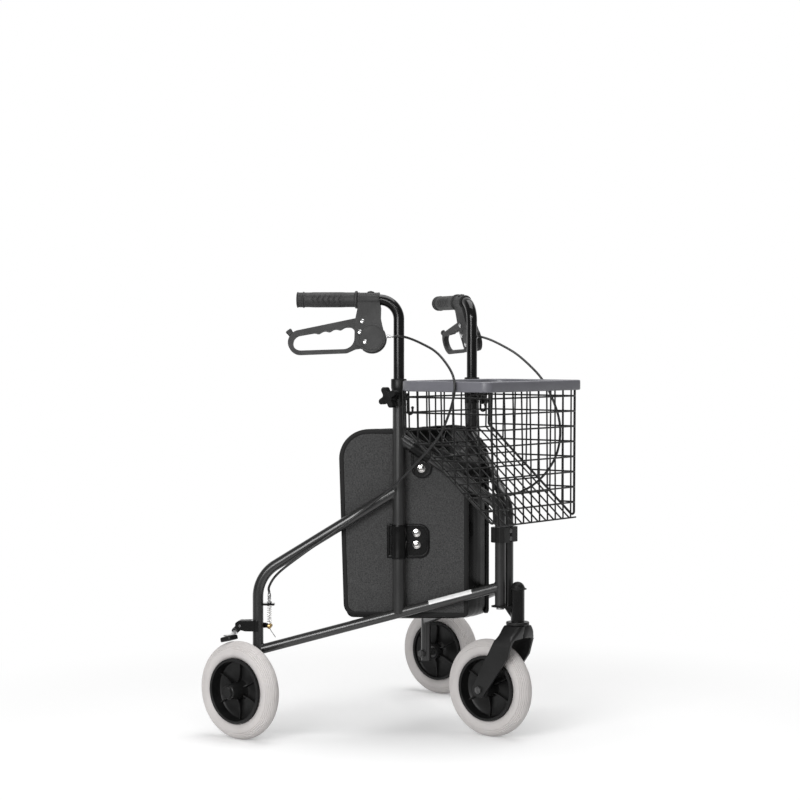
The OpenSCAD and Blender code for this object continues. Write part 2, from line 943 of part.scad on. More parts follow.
// Return spring between the cable stop and the clamp
module brake_spring() {
    curl_r = (spring_d - spring_wire_d) / 2;
    low_z = cable_clamp_z + cable_clamp_r + run_gap;
    high_z = stop_z - stop_t / 2 - run_gap;
    lead = spring_wire_d;
    rings = 8 * spring_curls;
    rise = high_z - low_z - 2 * lead;
    turns = [for (i = [0:1:rings]) 360 * spring_curls * i / rings];
    curls = [
        for (i = [0:1:rings])
            [curl_r * cos(turns[i]), curl_r * sin(turns[i]), low_z + lead + rise * i / rings]
    ];
    points = concat(
        [[curl_r, 0, low_z]], curls, [[curl_r * cos(turns[rings]), curl_r * sin(turns[rings]), high_z]]
    );
    sideways = [for (p = points) [p.x, p.y, 0]];
    self_gap = min([
        for (i = [0:1:rings])
            for (j = [i + 5:1:rings])
                norm(curls[i] - curls[j]) - spring_wire_d
    ]);
    echo(spring_least_self_gap = self_gap);
    color(steel)
        at_side()
            translate([cable_s, 0, 0])
                swept_tube(points, sideways, spring_wire_d / 2, 6);
}

// Brake arm: a strip past the inboard side of the rear post, with the shoe over the tyre
arm_front_r = 4;
arm_tail_at = [548, 212];
arm_tail_r = 7;
arm_pin_r = 2.4;
shoe_w = 28;
shoe_l = 30;
shoe_t = 10;
shoe_back = 27.6;
link_w = 12;
link_t = 3;

// Middle of the shoe, with +Z away from the axle
module at_shoe() {
    translate([-half_track, axle_y, wheel_r])
        rotate([-asin(shoe_back / wheel_r), 0, 0])
            translate([0, 0, wheel_r + shoe_gap + shoe_t / 2])
                children();
}

module brake_arm() {
    color(gloss_black)
        difference() {
            union() {
                at_side() {
                    translate([0, -arm_n - arm_t / 2, 0])
                        upright_plate(arm_t) {
                            hull() {
                                translate([cable_s, cable_clamp_z])
                                    circle(arm_front_r, $fn = 32);
                                translate([pivot_s, pivot_z])
                                    circle(ear_r, $fn = 32);
                            }
                            hull() {
                                translate([pivot_s, pivot_z])
                                    circle(arm_tail_r, $fn = 32);
                                translate(arm_tail_at)
                                    circle(arm_tail_r, $fn = 32);
                            }
                        }
                    translate([cable_s, -cable_clamp_half - run_gap, cable_clamp_z])
                        rotate([90, 0, 0])
                            cylinder(r = arm_pin_r, h = arm_n - cable_clamp_half);
                }
                at_shoe()
                    cube([shoe_w, shoe_l, shoe_t], center = true);
                hull() {
                    at_side()
                        translate([arm_tail_at.x, -arm_n - arm_t / 2, arm_tail_at.y])
                            cube([link_t, arm_t / 2, link_t], center = true);
                    at_shoe()
                        translate([0, 0, shoe_t / 2])
                            cube([link_w, link_w, link_t], center = true);
                }
            }
            at_side()
                translate([pivot_s, overrun - arm_n, pivot_z])
                    rotate([90, 0, 0])
                        cylinder(r = pivot_r + shaft_gap, h = arm_t + 2 * overrun);
        }
}

// Front hinge: plate, gusset and head tube, pins that the posts turn on, and a clamp round both posts
plate_half = 25;
plate_back = 14;
gusset_half = 2;
gusset_back = 2;
gusset_fall = 22;
bush_r = 11;
bush_h = 12;
bush_flange_r = 13.5;
bush_flange_h = 1.2;
hinge_pin_r = 5;
hinge_pin_h = 35;
hinge_head_r = 8;
hinge_head_h = 4;

module hinge_bracket() {
    color(gloss_black)
        difference() {
            union() {
                translate([0, 0, plate_top_z - plate_t])
                    linear_extrude(plate_t)
                        polygon([
                            [-plate_half, post_y + plate_back], [plate_half, post_y + plate_back],
                            [plate_half, post_y - plate_back], [head_r - gusset_half, head_y],
                            [-head_r + gusset_half, head_y], [-plate_half, post_y - plate_back]
                        ]);
                rotate([90, 0, 90])
                    linear_extrude(2 * gusset_half, center = true)
                        polygon([
                            [post_y + gusset_back, plate_top_z - plate_t / 2],
                            [head_y, plate_top_z - plate_t / 2],
                            [head_y, plate_top_z - plate_t - gusset_fall],
                            [head_y + head_r, plate_top_z - plate_t - gusset_fall]
                        ]);
                translate([0, head_y, head_bottom_z])
                    cylinder(r = head_r, h = head_top_z - head_bottom_z);
            }
            translate([0, head_y, head_bottom_z - overrun])
                cylinder(r = bush_r, h = head_top_z - head_bottom_z + 2 * overrun);
            for (side = [-1, 1])
                translate([side * post_half, post_y, plate_top_z - plate_t - overrun])
                    cylinder(r = hinge_pin_r + weld_gap, h = plate_t + 2 * overrun);
        }
}

cap_wall = 2;
cap_tab = [9, 7, 9];

module head_cap() {
    dome_z = cap_top_z - head_r;
    color(gloss_black)
        translate([0, head_y, 0])
            difference() {
                union() {
                    intersection() {
                        translate([0, 0, dome_z])
                            sphere(head_r + cap_wall / 2);
                        translate([0, 0, head_top_z + bush_flange_h + weld_gap])
                            cylinder(r = 2 * head_r, h = head_d);
                    }
                    translate([0, -head_r, head_top_z + bush_flange_h + weld_gap])
                        translate([-cap_tab.x / 2, -cap_tab.y / 2, 0])
                            cube([cap_tab.x, cap_tab.y, cap_wall]);
                }
                translate([0, 0, head_top_z])
                    cylinder(r = stem_nut_r + run_gap, h = stem_top_z + run_gap - head_top_z);
            }
}

module head_bushes() {
    color(steel)
        translate([0, head_y, 0])
            for (low = [true, false])
                translate([0, 0, low ? head_bottom_z : head_top_z])
                    mirror([0, 0, low ? 0 : 1])
                        difference() {
                            union() {
                                cylinder(r = bush_r - shaft_gap, h = bush_h);
                                translate([0, 0, -bush_flange_h])
                                    cylinder(r = bush_flange_r, h = bush_flange_h - shaft_gap);
                                translate([0, 0, -bush_flange_h / 2])
                                    cylinder(r = bush_r - shaft_gap, h = bush_flange_h);
                            }
                            translate([0, 0, -bush_flange_h - overrun])
                                cylinder(r = stem_r + shaft_gap, h = bush_h + bush_flange_h + 2 * overrun);
                        }
}

module hinge_pins() {
    color(steel)
        for (side = [-1, 1])
            translate([side * post_half, post_y, plate_top_z]) {
                translate([0, 0, -plate_t - hinge_head_h - weld_gap])
                    cylinder(r = hinge_head_r, h = hinge_head_h);
                translate([0, 0, -plate_t - overrun])
                    cylinder(r = hinge_pin_r, h = plate_t + 2 * overrun);
                translate([0, 0, weld_gap])
                    cylinder(r = frame_r - tube_wall - shaft_gap, h = hinge_pin_h);
            }
}

clamp_half_x = 30;
clamp_half_y = 17;
clamp_split = 0.8;

module hinge_clamp() {
    color(gloss_black)
        translate([0, post_y, clamp_z - clamp_h / 2])
            for (side = [-1, 1])
                difference() {
                    translate([0, side * clamp_half_y / 2, 0])
                        linear_extrude(clamp_h)
                            square([2 * clamp_half_x, clamp_half_y - clamp_split], center = true);
                    for (post = [-post_half, post_half])
                        translate([post, 0, -overrun])
                            cylinder(r = frame_r + run_gap, h = clamp_h + 2 * overrun);
                }
}

// Caster
crown_h = 14;
crown_top_z = head_bottom_z - bush_flange_h - run_gap;
bridge_h = 18;
bridge_front = 20;
bridge_back = 24;
leg_top_ahead = 1;
leg_top_drop = 30.5;
leg_top_r = 24.5;
leg_foot_r = 16;
stem_nut_r = 11;
stem_nut_h = 8;
stem_end = 1;
stem_top_z = head_top_z + bush_flange_h + run_gap + stem_nut_h + stem_end;

module caster_fork() {
    bridge_z = crown_top_z - crown_h - bridge_h + overrun;
    color(gloss_black)
        difference() {
            union() {
                translate([0, head_y, crown_top_z - crown_h])
                    cylinder(d = crown_d, h = crown_h);
                translate([-fork_gap / 2 - fork_leg_t, head_y - bridge_front, bridge_z])
                    cube([fork_gap + 2 * fork_leg_t, bridge_front + bridge_back, bridge_h]);
                for (side = [-1, 1])
                    translate([side * (fork_gap + fork_leg_t) / 2, 0, 0])
                        rotate([90, 0, 90])
                            linear_extrude(fork_leg_t, center = true)
                                hull() {
                                    translate([head_y - leg_top_ahead, crown_top_z - leg_top_drop])
                                        circle(leg_top_r, $fn = 40);
                                    translate([caster_y, wheel_r])
                                        circle(leg_foot_r, $fn = 40);
                                }
            }
            translate([0, caster_y, wheel_r])
                rotate([0, 90, 0])
                    cylinder(r = axle_r + weld_gap, h = 2 * fork_gap, center = true);
            translate([0, head_y, crown_top_z - crown_h])
                cylinder(r = stem_r + weld_gap, h = crown_h + overrun);
        }
}

module caster_stem() {
    color(steel)
        translate([0, head_y, 0]) {
            translate([0, 0, crown_top_z - crown_h + weld_gap])
                cylinder(r = stem_r, h = stem_top_z - crown_top_z + crown_h - weld_gap);
            translate([0, 0, head_top_z + bush_flange_h + run_gap])
                cylinder(r = stem_nut_r, h = stem_nut_h, $fn = 6);
        }
}

module front_axle() {
    outer = fork_gap / 2 + fork_leg_t;
    color(steel)
        at_front_wheel() {
            cylinder(r = axle_r, h = 2 * (outer + nut_h / 2), center = true);
            for (side = [-1, 1])
                translate([0, 0, side * (outer + nut_h / 4 + weld_gap)])
                    cylinder(r = bolt_head_r, h = nut_h / 2, center = true, $fn = 6);
        }
}

// Basket: rim band, two side wires, and straight mesh wires that end on them
cage_front = 72;
// The level wires at the back lie in the middle of the hooks
cage_back = upright_y - post_y - (hook_near + hook_far) / 2;
rim_round = 20;
cage_bottom_z = hook_bottom_z + hook_r + mesh_r + run_gap - (level_count - 2) * level_pitch;
back_bottom_z = cage_bottom_z + (level_count - 3) * level_pitch;
rim_bottom_z = rim_top_z - rim_h;
floor_share = (back_bottom_z - cage_bottom_z) / (cage_back + cage_front);
cage_bend = 14;

module rim_outline(inset) {
    round_r = rim_round - inset;
    hull()
        for (x = [-1, 1])
            for (y = [rim_round - rim_front, rim_back - rim_round])
                translate([x * (rim_half - rim_round), y])
                    circle(round_r, $fn = 64);
}

module basket_rim() {
    color(rim_grey)
        translate([0, post_y, rim_bottom_z])
            linear_extrude(rim_h)
                difference() {
                    rim_outline(0);
                    rim_outline(rim_t);
                }
}

// A straight mesh wire between two points
module wire(a, b) {
    along = b - a;
    translate(a)
        rotate([0, acos(along.z / norm(along)), atan2(along.y, along.x)])
            cylinder(r = mesh_r, h = norm(along), $fn = 24);
}

function floor_z(y) = cage_bottom_z + floor_share * (y + cage_front);

module basket_wires() {
    layer = mesh_wire_d + weld_gap;
    end_x = cage_half - side_wire_r - weld_gap;
    top_z = rim_bottom_z - weld_gap;
    front_y = -cage_front - side_wire_r - mesh_r - weld_gap;
    back_y = cage_back;
    side_x = cage_half + side_wire_r + mesh_r + weld_gap;
    lean = atan(floor_share);
    drop = (side_wire_r + layer) / cos(lean);
    half_count = floor(end_x / mesh_pitch + 1 / 2);
    columns = [for (i = [-half_count:1:half_count - 1]) (i + 1 / 2) * mesh_pitch];
    levels = [for (k = [0:1:level_count - 1]) cage_bottom_z + k * level_pitch];
    rows = floor((cage_back + cage_front) / mesh_pitch);
    color(gloss_black)
        translate([0, post_y, 0]) {
            for (side = [-1, 1])
                translate([side * cage_half, 0, 0])
                    rotate([0, 0, 90])
                        bent([
                            [cage_back, top_z], [cage_back, back_bottom_z],
                            [-cage_front, cage_bottom_z], [-cage_front, top_z]
                        ], cage_bend, side_wire_r, side_wire_d);
            for (x = columns) {
                wire([x, front_y + layer, cage_bottom_z + mesh_r], [x, front_y + layer, top_z]);
                wire([x, back_y - layer, back_bottom_z + layer], [x, back_y - layer, top_z]);
                wire([x, layer - cage_front, floor_z(layer - cage_front) - layer],
                    [x, back_y - 2 * layer, floor_z(back_y - 2 * layer) - layer]);
            }
            for (z = levels)
                wire([-side_x, front_y, z], [side_x, front_y, z]);
            for (z = [levels[level_count - 2], levels[level_count - 1]])
                wire([-end_x, back_y, z], [end_x, back_y, z]);
            for (i = [1:1:rows]) {
                y = i * mesh_pitch - cage_front;
                wire([-end_x, y, floor_z(y)], [end_x, y, floor_z(y)]);
            }
            for (side = [-1, 1]) {
                for (k = [1:1:level_count - 1]) {
                    reach = min(cage_back, k * level_pitch / floor_share - cage_front);
                    wire([side * side_x, front_y + layer, levels[k]], [side * side_x, reach, levels[k]]);
                }
                for (i = [1:1:rows]) {
                    x = side * (side_x - layer);
                    y = i * mesh_pitch - cage_front;
                    wire([x, y, floor_z(y) + drop], [x, y, top_z]);
                }
            }
        }
}

// Bag: side panels inside the frames, one gusset strip between them, and straps round the tubes
panel_n = -16;
panel_round = 25;
panel_lean = 13;
panel_shoulder = 60;
panel_front_round = 8;
panel_front_z = 554;
strap_t = 2.2;
strap_n = -13;
low_strap_z = 366;
low_strap_h = 70;
low_strap_front = 62;
high_strap_s = 161;
high_strap_w = 44;
high_strap_low_z = 531;
gusset_top_z = 557;
gusset_round = 22;

module panel_outline() {
    hull() {
        translate([bag_back_s - panel_lean - panel_round, bag_bottom_z + panel_round])
            circle(panel_round, $fn = 48);
        translate([bag_front_s + panel_front_round, bag_bottom_z + panel_front_round])
            circle(panel_front_round, $fn = 24);
        translate([bag_front_s + panel_front_round, panel_front_z])
            circle(panel_front_round, $fn = 24);
        translate([upright_s, bag_top_z - panel_front_round])
            circle(panel_front_round, $fn = 24);
        translate([bag_back_s - panel_shoulder, bag_top_z - panel_shoulder])
            circle(panel_shoulder, $fn = 64);
    }
}

module bag_panel() {
    color(cloth_grey)
        at_side()
            translate([0, panel_n - panel_t / 2, 0])
                upright_plate(panel_t)
                    panel_outline();
}

module bag_straps() {
    front_share = (front_joint_z - front_corner_z) / upright_s;
    sleeve_z = front_corner_z + front_share * high_strap_s;
    color(gloss_black)
        at_side() {
            translate([upright_s, 0, low_strap_z])
                linear_extrude(low_strap_h)
                    difference() {
                        union() {
                            circle(upright_r + strap_t + weld_gap);
                            translate([-low_strap_front, strap_n - strap_t])
                                square([low_strap_front, strap_t]);
                        }
                        circle(upright_r + weld_gap);
                    }
            difference() {
                union() {
                    translate([high_strap_s, 0, sleeve_z])
                        rotate([0, 90 - atan(front_share), 0])
                            cylinder(r = frame_r + strap_t + weld_gap, h = high_strap_w, center = true);
                    translate([high_strap_s - high_strap_w / 2, strap_n - strap_t, high_strap_low_z])
                        cube([high_strap_w, strap_t, sleeve_z - high_strap_low_z]);
                }
                translate([high_strap_s, 0, sleeve_z])
                    rotate([0, 90 - atan(front_share), 0])
                        cylinder(r = frame_r + weld_gap, h = 2 * high_strap_w, center = true);
            }
        }
}

module gusset_outline(inset, front_y, low_back_y, back_y) {
    hull() {
        for (y = [front_y + gusset_round, low_back_y - gusset_round])
            translate([y, bag_bottom_z + gusset_round])
                circle(gusset_round - inset, $fn = 48);
        translate([front_y + inset, gusset_top_z - gusset_round])
            square(gusset_round);
        translate([back_y - panel_shoulder, bag_top_z - panel_shoulder])
            circle(panel_shoulder - inset, $fn = 64);
    }
}

// Strip down the front, under the bottom and up the back to the top of the panels' shoulders
module bag_gusset() {
    inner_n = panel_n - panel_t - run_gap;
    front = plan(bag_front_s, inner_n);
    low_back = plan(bag_back_s - panel_lean, inner_n);
    back = plan(bag_back_s, inner_n);
    mouth_y = front.y + gusset_t;
    color(gloss_black)
        intersection() {
            rotate([90, 0, 90])
                linear_extrude(2 * half_track, center = true)
                    difference() {
                        gusset_outline(0, front.y, low_back.y, back.y);
                        gusset_outline(gusset_t, front.y, low_back.y, back.y);
                        translate([mouth_y, bag_bottom_z + gusset_round])
                            square([back.y - panel_shoulder - mouth_y, bag_top_z - bag_bottom_z]);
                    }
            linear_extrude(handle_z)
                polygon([front, [-front.x, front.y], [-back.x, back.y], back]);
        }
}

// Every piece by name: the left ones mirror the right ones
hinge_bracket();
head_cap();
head_bushes();
hinge_clamp();
hinge_pins();
caster_fork();
caster_stem();
front_axle();
front_tyre();
front_hub();
front_bearings();
basket_rim();
basket_wires();
bag_gusset();
lower_tube();  // right_lower_tube
upright_tube();  // right_upright_tube
rear_tube();  // right_rear_tube
front_tube();  // right_front_tube
height_collar();  // right_height_collar
knob();  // right_knob
handle_tube();  // right_handle_tube
grip();  // right_grip
brake_housing();  // right_brake_housing
housing_fittings();  // right_housing_fittings
brake_lever();  // right_brake_lever
brake_cable(right_route);  // right_brake_cable
cable_adjuster();  // right_cable_adjuster
brake_spring();  // right_brake_spring
cable_clamp();  // right_cable_clamp
brake_bracket();  // right_brake_bracket
brake_arm();  // right_brake_arm
rear_axle();  // right_axle
rear_tyre();  // right_tyre
rear_hub();  // right_hub
rear_bearings();  // right_bearings
bag_panel();  // right_bag_panel
bag_straps();  // right_bag_straps
on_left() lower_tube();  // left_lower_tube
on_left() upright_tube();  // left_upright_tube
on_left() rear_tube();  // left_rear_tube
on_left() front_tube();  // left_front_tube
on_left() height_collar();  // left_height_collar
on_left() knob();  // left_knob
on_left() handle_tube();  // left_handle_tube
on_left() grip();  // left_grip
on_left() brake_housing();  // left_brake_housing
on_left() housing_fittings();  // left_housing_fittings
on_left() brake_lever();  // left_brake_lever
on_left() brake_cable(left_route);  // left_brake_cable
on_left() cable_adjuster();  // left_cable_adjuster
on_left() brake_spring();  // left_brake_spring
on_left() cable_clamp();  // left_cable_clamp
on_left() brake_bracket();  // left_brake_bracket
on_left() brake_arm();  // left_brake_arm
on_left() rear_axle();  // left_axle
on_left() rear_tyre();  // left_tyre
on_left() rear_hub();  // left_hub
on_left() rear_bearings();  // left_bearings
on_left() bag_panel();  // left_bag_panel
on_left() bag_straps();  // left_bag_straps
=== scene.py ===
"""Dresses the walker: materials, soft goods and fine detail.

Sizes are millimetres until piece() turns them to metres.
"""
import math
from math import cos, pi, radians, sin

import bmesh
import bpy
from mathutils import Matrix, Vector
from mathutils.geometry import tessellate_polygon


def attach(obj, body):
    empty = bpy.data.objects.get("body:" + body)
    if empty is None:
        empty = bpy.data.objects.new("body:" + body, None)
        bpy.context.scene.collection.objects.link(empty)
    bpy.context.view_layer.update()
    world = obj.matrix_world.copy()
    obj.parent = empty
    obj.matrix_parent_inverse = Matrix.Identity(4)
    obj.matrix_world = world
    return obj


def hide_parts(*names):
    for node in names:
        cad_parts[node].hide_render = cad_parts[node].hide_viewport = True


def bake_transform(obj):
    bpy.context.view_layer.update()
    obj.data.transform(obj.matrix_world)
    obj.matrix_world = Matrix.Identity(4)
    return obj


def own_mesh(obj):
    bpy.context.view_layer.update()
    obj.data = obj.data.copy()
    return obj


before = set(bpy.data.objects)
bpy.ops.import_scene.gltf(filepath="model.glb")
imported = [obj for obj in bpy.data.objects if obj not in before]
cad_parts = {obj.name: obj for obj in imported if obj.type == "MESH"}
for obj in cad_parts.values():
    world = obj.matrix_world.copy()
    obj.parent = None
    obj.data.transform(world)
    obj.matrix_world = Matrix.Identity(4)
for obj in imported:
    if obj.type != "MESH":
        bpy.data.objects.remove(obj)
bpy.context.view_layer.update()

# Driving sizes, the same as the solids have
SPLAY = 33
POST_HALF = 13.5
UPRIGHT_S = 207
REAR_S = 497.5
WHEEL_R = 100
WHEEL_OUT = 55.5
RIM_FRONT = 79
HEAD_AHEAD = 33.5
CASTER_TRAIL = 68.5
HANDLE_SPLAY = 33
HANDLE_Z = 894
BRAKE_TILT = 14
UPRIGHT_R = 12.7
FRAME_R = 11
LOWER_R = 10
LOWER_FRONT_Z = 311.5
LOWER_REAR_Z = 175
REAR_CORNER_Z = 328
REAR_JOINT_Z = 508
FRONT_CORNER_Z = 475
FRONT_JOINT_Z = 615
KNOB_Z = 696
CLAMP_Z = 417
SHOE_ANGLE = -16.02
SHOE_R = 107

# Places worked out from them
POST_Y = (RIM_FRONT - REAR_S * cos(radians(SPLAY)) - WHEEL_R) / 2
UPRIGHT_X = POST_HALF + UPRIGHT_S * sin(radians(SPLAY))
UPRIGHT_Y = POST_Y + UPRIGHT_S * cos(radians(SPLAY))
AXLE_Y = POST_Y + REAR_S * cos(radians(SPLAY))
HALF_TRACK = POST_HALF + REAR_S * sin(radians(SPLAY)) + WHEEL_OUT
HEAD_Y = POST_Y - HEAD_AHEAD
CASTER_Y = HEAD_Y + CASTER_TRAIL
LOWER_FALL = (LOWER_REAR_Z - LOWER_FRONT_Z) / REAR_S

SIDES = ("right", "left")


# Frames of reference

def turn(angle, axis):
    return Matrix.Rotation(radians(angle), 4, axis)


def shift(x, y, z):
    return Matrix.Translation((x, y, z))


IDENTITY = Matrix.Identity(4)
METRES = Matrix.Scale(0.001, 4)
MIRROR = Matrix.Scale(-1, 4, (1, 0, 0))
# Outlines drawn in X and Y stand up in X and Z, with their depth along -Y
STANDING = turn(90, "X")
# Outlines drawn in X and Y stand up in Y and Z, with their depth along X
ENDWISE = turn(90, "Z") @ turn(90, "X")
# Shapes turned about Z lie along X
LENGTHWISE = turn(90, "Y")
AT_POSTS = shift(0, POST_Y, 0)
AT_SIDE = shift(-POST_HALF, POST_Y, 0) @ turn(90 + SPLAY, "Z")
AT_UPRIGHT = shift(-UPRIGHT_X, UPRIGHT_Y, 0)
AT_HANDLE = shift(-UPRIGHT_X, UPRIGHT_Y, HANDLE_Z) @ turn(90 + HANDLE_SPLAY, "Z")
AT_BRAKE = AT_HANDLE @ turn(BRAKE_TILT, "X")
AT_REAR_WHEEL = shift(-HALF_TRACK, AXLE_Y, WHEEL_R) @ turn(-90, "Y")
AT_SHOE = shift(-HALF_TRACK, AXLE_Y, WHEEL_R) @ turn(SHOE_ANGLE, "X") @ shift(0, 0, SHOE_R)
AT_FRONT_WHEEL = shift(0, CASTER_Y, WHEEL_R) @ turn(-90, "Y")
AT_HEAD = shift(0, HEAD_Y, 0)


def in_metres(at, side):
    """A frame drawn for the right side, or its mirror image on the left, in metres."""
    return METRES @ (MIRROR if side == "left" else IDENTITY) @ at


# Outlines and paths

def arc(x, y, r, start, end, steps=16):
    angles = [radians(start + (end - start) * i / steps) for i in range(steps + 1)]
    return [(x + r * cos(a), y + r * sin(a)) for a in angles]


def link_outline(first, first_r, last, last_r):
    """Two round ends joined by straight sides."""
    way = Vector(last) - Vector(first)
    heading = math.degrees(math.atan2(way.y, way.x))
    spread = 90 + math.degrees(math.asin((last_r - first_r) / way.length))
    return (arc(*first, first_r, heading + spread, heading + 360 - spread)
            + arc(*last, last_r, heading - spread, heading + spread))


def around(steps):
    """Angles that share out a full turn."""
    return [2 * pi * i / steps for i in range(steps)]


def circle(r, z, steps=64):
    return [(r * cos(a), r * sin(a), z) for a in around(steps)]


def rounded(points, radius, steps=6, closed=True):
    """The same outline or path with its corners turned into arcs."""
    points = [Vector(p) for p in points]
    count = len(points)
    out = []
    for i, p in enumerate(points):
        if not closed and i in (0, count - 1):
            out.append(p)
            continue
        u = points[i - 1] - p
        v = points[(i + 1) % count] - p
        half = u.angle(v) / 2
        reach = min(radius / math.tan(half), u.length * 0.49, v.length * 0.49)
        if reach < 0.01:
            out.append(p)
            continue
        u.normalize()
        v.normalize()
        centre = p + (u + v).normalized() * (reach / cos(half))
        first = p + u * reach - centre
        last = p + v * reach - centre
        sideways = last - first * (last.dot(first) / first.length_squared)
        sideways = sideways.normalized() * first.length
        sweep_angle = first.angle(last)
        for k in range(steps + 1):
            a = sweep_angle * k / steps
            out.append(centre + first * cos(a) + sideways * sin(a))
    return out


def rounded_box(left, right, low, high, radius, steps=6):
    """A rectangle with rounded corners."""
    return rounded([(left, low), (right, low), (right, high), (left, high)], radius, steps)


def smooth_curve(points, steps):
    """A smooth curve through the points."""
    points = [Vector(p) for p in points]
    last = len(points) - 1
    out = []
    for i in range(last):
        a, b = points[max(i - 1, 0)], points[i]
        c, d = points[i + 1], points[min(i + 2, last)]
        for k in range(steps):
            t = k / steps
            out.append((2 * b + (c - a) * t + (2 * a - 5 * b + 4 * c - d) * t ** 2
                        + (3 * b - a - 3 * c + d) * t ** 3) / 2)
    out.append(points[last])
    return out


# Meshes

def loft(bm, rings, at=IDENTITY, closed=False):
    """Faces between one ring of points and the next, and over both ends unless the rings run round."""
    loops = [[bm.verts.new(at @ Vector(p)) for p in ring] for ring in rings]
    following = loops[1:] + loops[:1] if closed else loops[1:]
    for a, b in zip(loops, following):
        for i in range(len(a)):
            j = (i + 1) % len(a)
            bm.faces.new((a[i], a[j], b[j], b[i]))
    if not closed:
        bm.faces.new(list(reversed(loops[0])))
        bm.faces.new(loops[-1])


def lathe(bm, profile, at=IDENTITY, steps=64, closed=False):
    """A turned shape about Z, from pairs of radius and height."""
    loft(bm, [circle(r, z, steps) for r, z in profile], at, closed)


def plate(bm, outline, low, high, at=IDENTITY, holes=()):
    """A flat plate from an outline in X and Y, with holes, between two heights in Z."""
    loops = [outline, *holes]
    triangles = tessellate_polygon([[Vector((p[0], p[1], 0)) for p in loop] for loop in loops])
    points = [p for loop in loops for p in loop]
    bottom = [bm.verts.new(at @ Vector((p[0], p[1], low))) for p in points]
    top = [bm.verts.new(at @ Vector((p[0], p[1], high))) for p in points]
    for a, b, c in triangles:
        bm.faces.new((top[a], top[b], top[c]))
        bm.faces.new((bottom[c], bottom[b], bottom[a]))
    start = 0
    for loop in loops:
        for i in range(len(loop)):
            a = start + i
            b = start + (i + 1) % len(loop)
            bm.faces.new((bottom[a], bottom[b], top[b], top[a]))
        start += len(loop)


def sweep(bm, points, radius, at=IDENTITY, sides=12):
    """A round bar through points."""
    points = [Vector(p) for p in points]
    last = len(points) - 1
    rings = []
    side = (points[1] - points[0]).orthogonal()
    for i, p in enumerate(points):
        ahead = (points[min(i + 1, last)] - points[max(i - 1, 0)]).normalized()
        side = (side - ahead * side.dot(ahead)).normalized()
        up = ahead.cross(side)
        rings.append([p + radius * (cos(a) * side + sin(a) * up) for a in around(sides)])
    loft(bm, rings, at)


def edging(bm, path, section, normal, at=IDENTITY):
    """A section carried round a closed flat path: its X points to the left of the way along, its Y along normal."""
    path = [Vector(p) for p in path]
    normal = Vector(normal)
    rings = []
    for i, p in enumerate(path):
        ahead = (path[(i + 1) % len(path)] - path[i - 1]).normalized()
        left = normal.cross(ahead)
        rings.append([p + left * x + normal * y for x, y in section])
    loft(bm, rings, at, closed=True)


def dome(bm, r, h, at=IDENTITY):
    """A round rivet or press stud head on Z."""
    rise = [pi / 2 * k / 6 for k in range(1, 6)]
    lathe(bm, [(r, 0), (r, h * 0.3)] + [(r * cos(a), h * (0.3 + 0.7 * sin(a))) for a in rise], at, 32)


def put(name, data):
    """An object in the scene."""
    obj = bpy.data.objects.new(name, data)
    bpy.context.scene.collection.objects.link(obj)
    return obj


def piece(name, bm, body, look, at=IDENTITY, side=None, replaces=(), bevel=0.0, sharp=35, weave=False):
    """Places a mesh in the row frame, in metres, and lets it ride on its body."""
    if weave:
        layer = bm.loops.layers.uv.new("weave")
        for face in bm.faces:
            for corner in face.loops:
                corner[layer].uv = (corner.vert.co.x, corner.vert.co.z)
    bmesh.ops.transform(bm, matrix=in_metres(at, side), verts=bm.verts)
    bmesh.ops.recalc_face_normals(bm, faces=bm.faces)
    prefix = f"{side}_" if side else ""
    mesh = bpy.data.meshes.new(prefix + name)
    bm.to_mesh(mesh)
    bm.free()
    mesh.shade_smooth()
    mesh.set_sharp_from_angle(angle=radians(sharp))
    obj = put(prefix + name, mesh)
    slot, made = LOOKS[look]
    mesh.materials.append(made)
    if bevel:
        edges = obj.modifiers.new("Rounded edges", "BEVEL")
        edges.width = bevel * 0.001
        edges.segments = 3
        edges.limit_method = "ANGLE"
        edges.angle_limit = radians(sharp)
        edges.harden_normals = True
    if body:
        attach(obj, prefix + body)
    if replaces:
        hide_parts(*[prefix + node for node in replaces])
    return obj


# Materials

def add_node(tree, kind, *first, operation=None, **named):
    """A node whose inputs, by order or by name, are set to a value or joined to a socket."""
    node = tree.nodes.new("ShaderNode" + kind)
    if operation:
        node.operation = operation
    by_name = [(key.replace("_", " "), value) for key, value in named.items()]
    for key, value in [*enumerate(first), *by_name]:
        if isinstance(value, bpy.types.NodeSocket):
            tree.links.new(value, node.inputs[key])
        else:
            node.inputs[key].default_value = value
    return node


def feed(tree, key, source):
    """Joins a source to an input of the material's shader."""
    tree.links.new(source, tree.nodes["Principled BSDF"].inputs[key])


def noise(tree, scale, detail=3.0):
    """A noise over the surface, with scale in features per metre."""
    place = add_node(tree, "TexCoord").outputs["Object"]
    return add_node(tree, "TexNoise", Vector=place, Scale=scale, Detail=detail).outputs["Fac"]


# Most of a noise lies in this span
NOISE_SPAN = (0.3, 0.7)


def rgba(colour):
    """A grey level or a colour, as a shader takes it."""
    return (colour, colour, colour, 1) if isinstance(colour, float) else (*colour, 1)


def tint(tree, scale, low, high, detail=3.0):
    """Base colour that runs between two colours with a noise."""
    ramp = add_node(tree, "ValToRGB", noise(tree, scale, detail))
    for element, position, colour in zip(ramp.color_ramp.elements, NOISE_SPAN, (low, high)):
        element.position = position
        element.color = rgba(colour)
    feed(tree, "Base Color", ramp.outputs["Color"])


def polish(tree, scale, low, high):
    """Roughness that runs between two values with a noise."""
    spread = add_node(tree, "MapRange", noise(tree, scale), *NOISE_SPAN, low, high)
    feed(tree, "Roughness", spread.outputs["Result"])


def relief(tree, source, depth, strength):
    """Bumps of a depth in millimetres."""
    bump = add_node(tree, "Bump", Strength=strength, Distance=depth * 0.001, Height=source)
    feed(tree, "Normal", bump.outputs["Normal"])


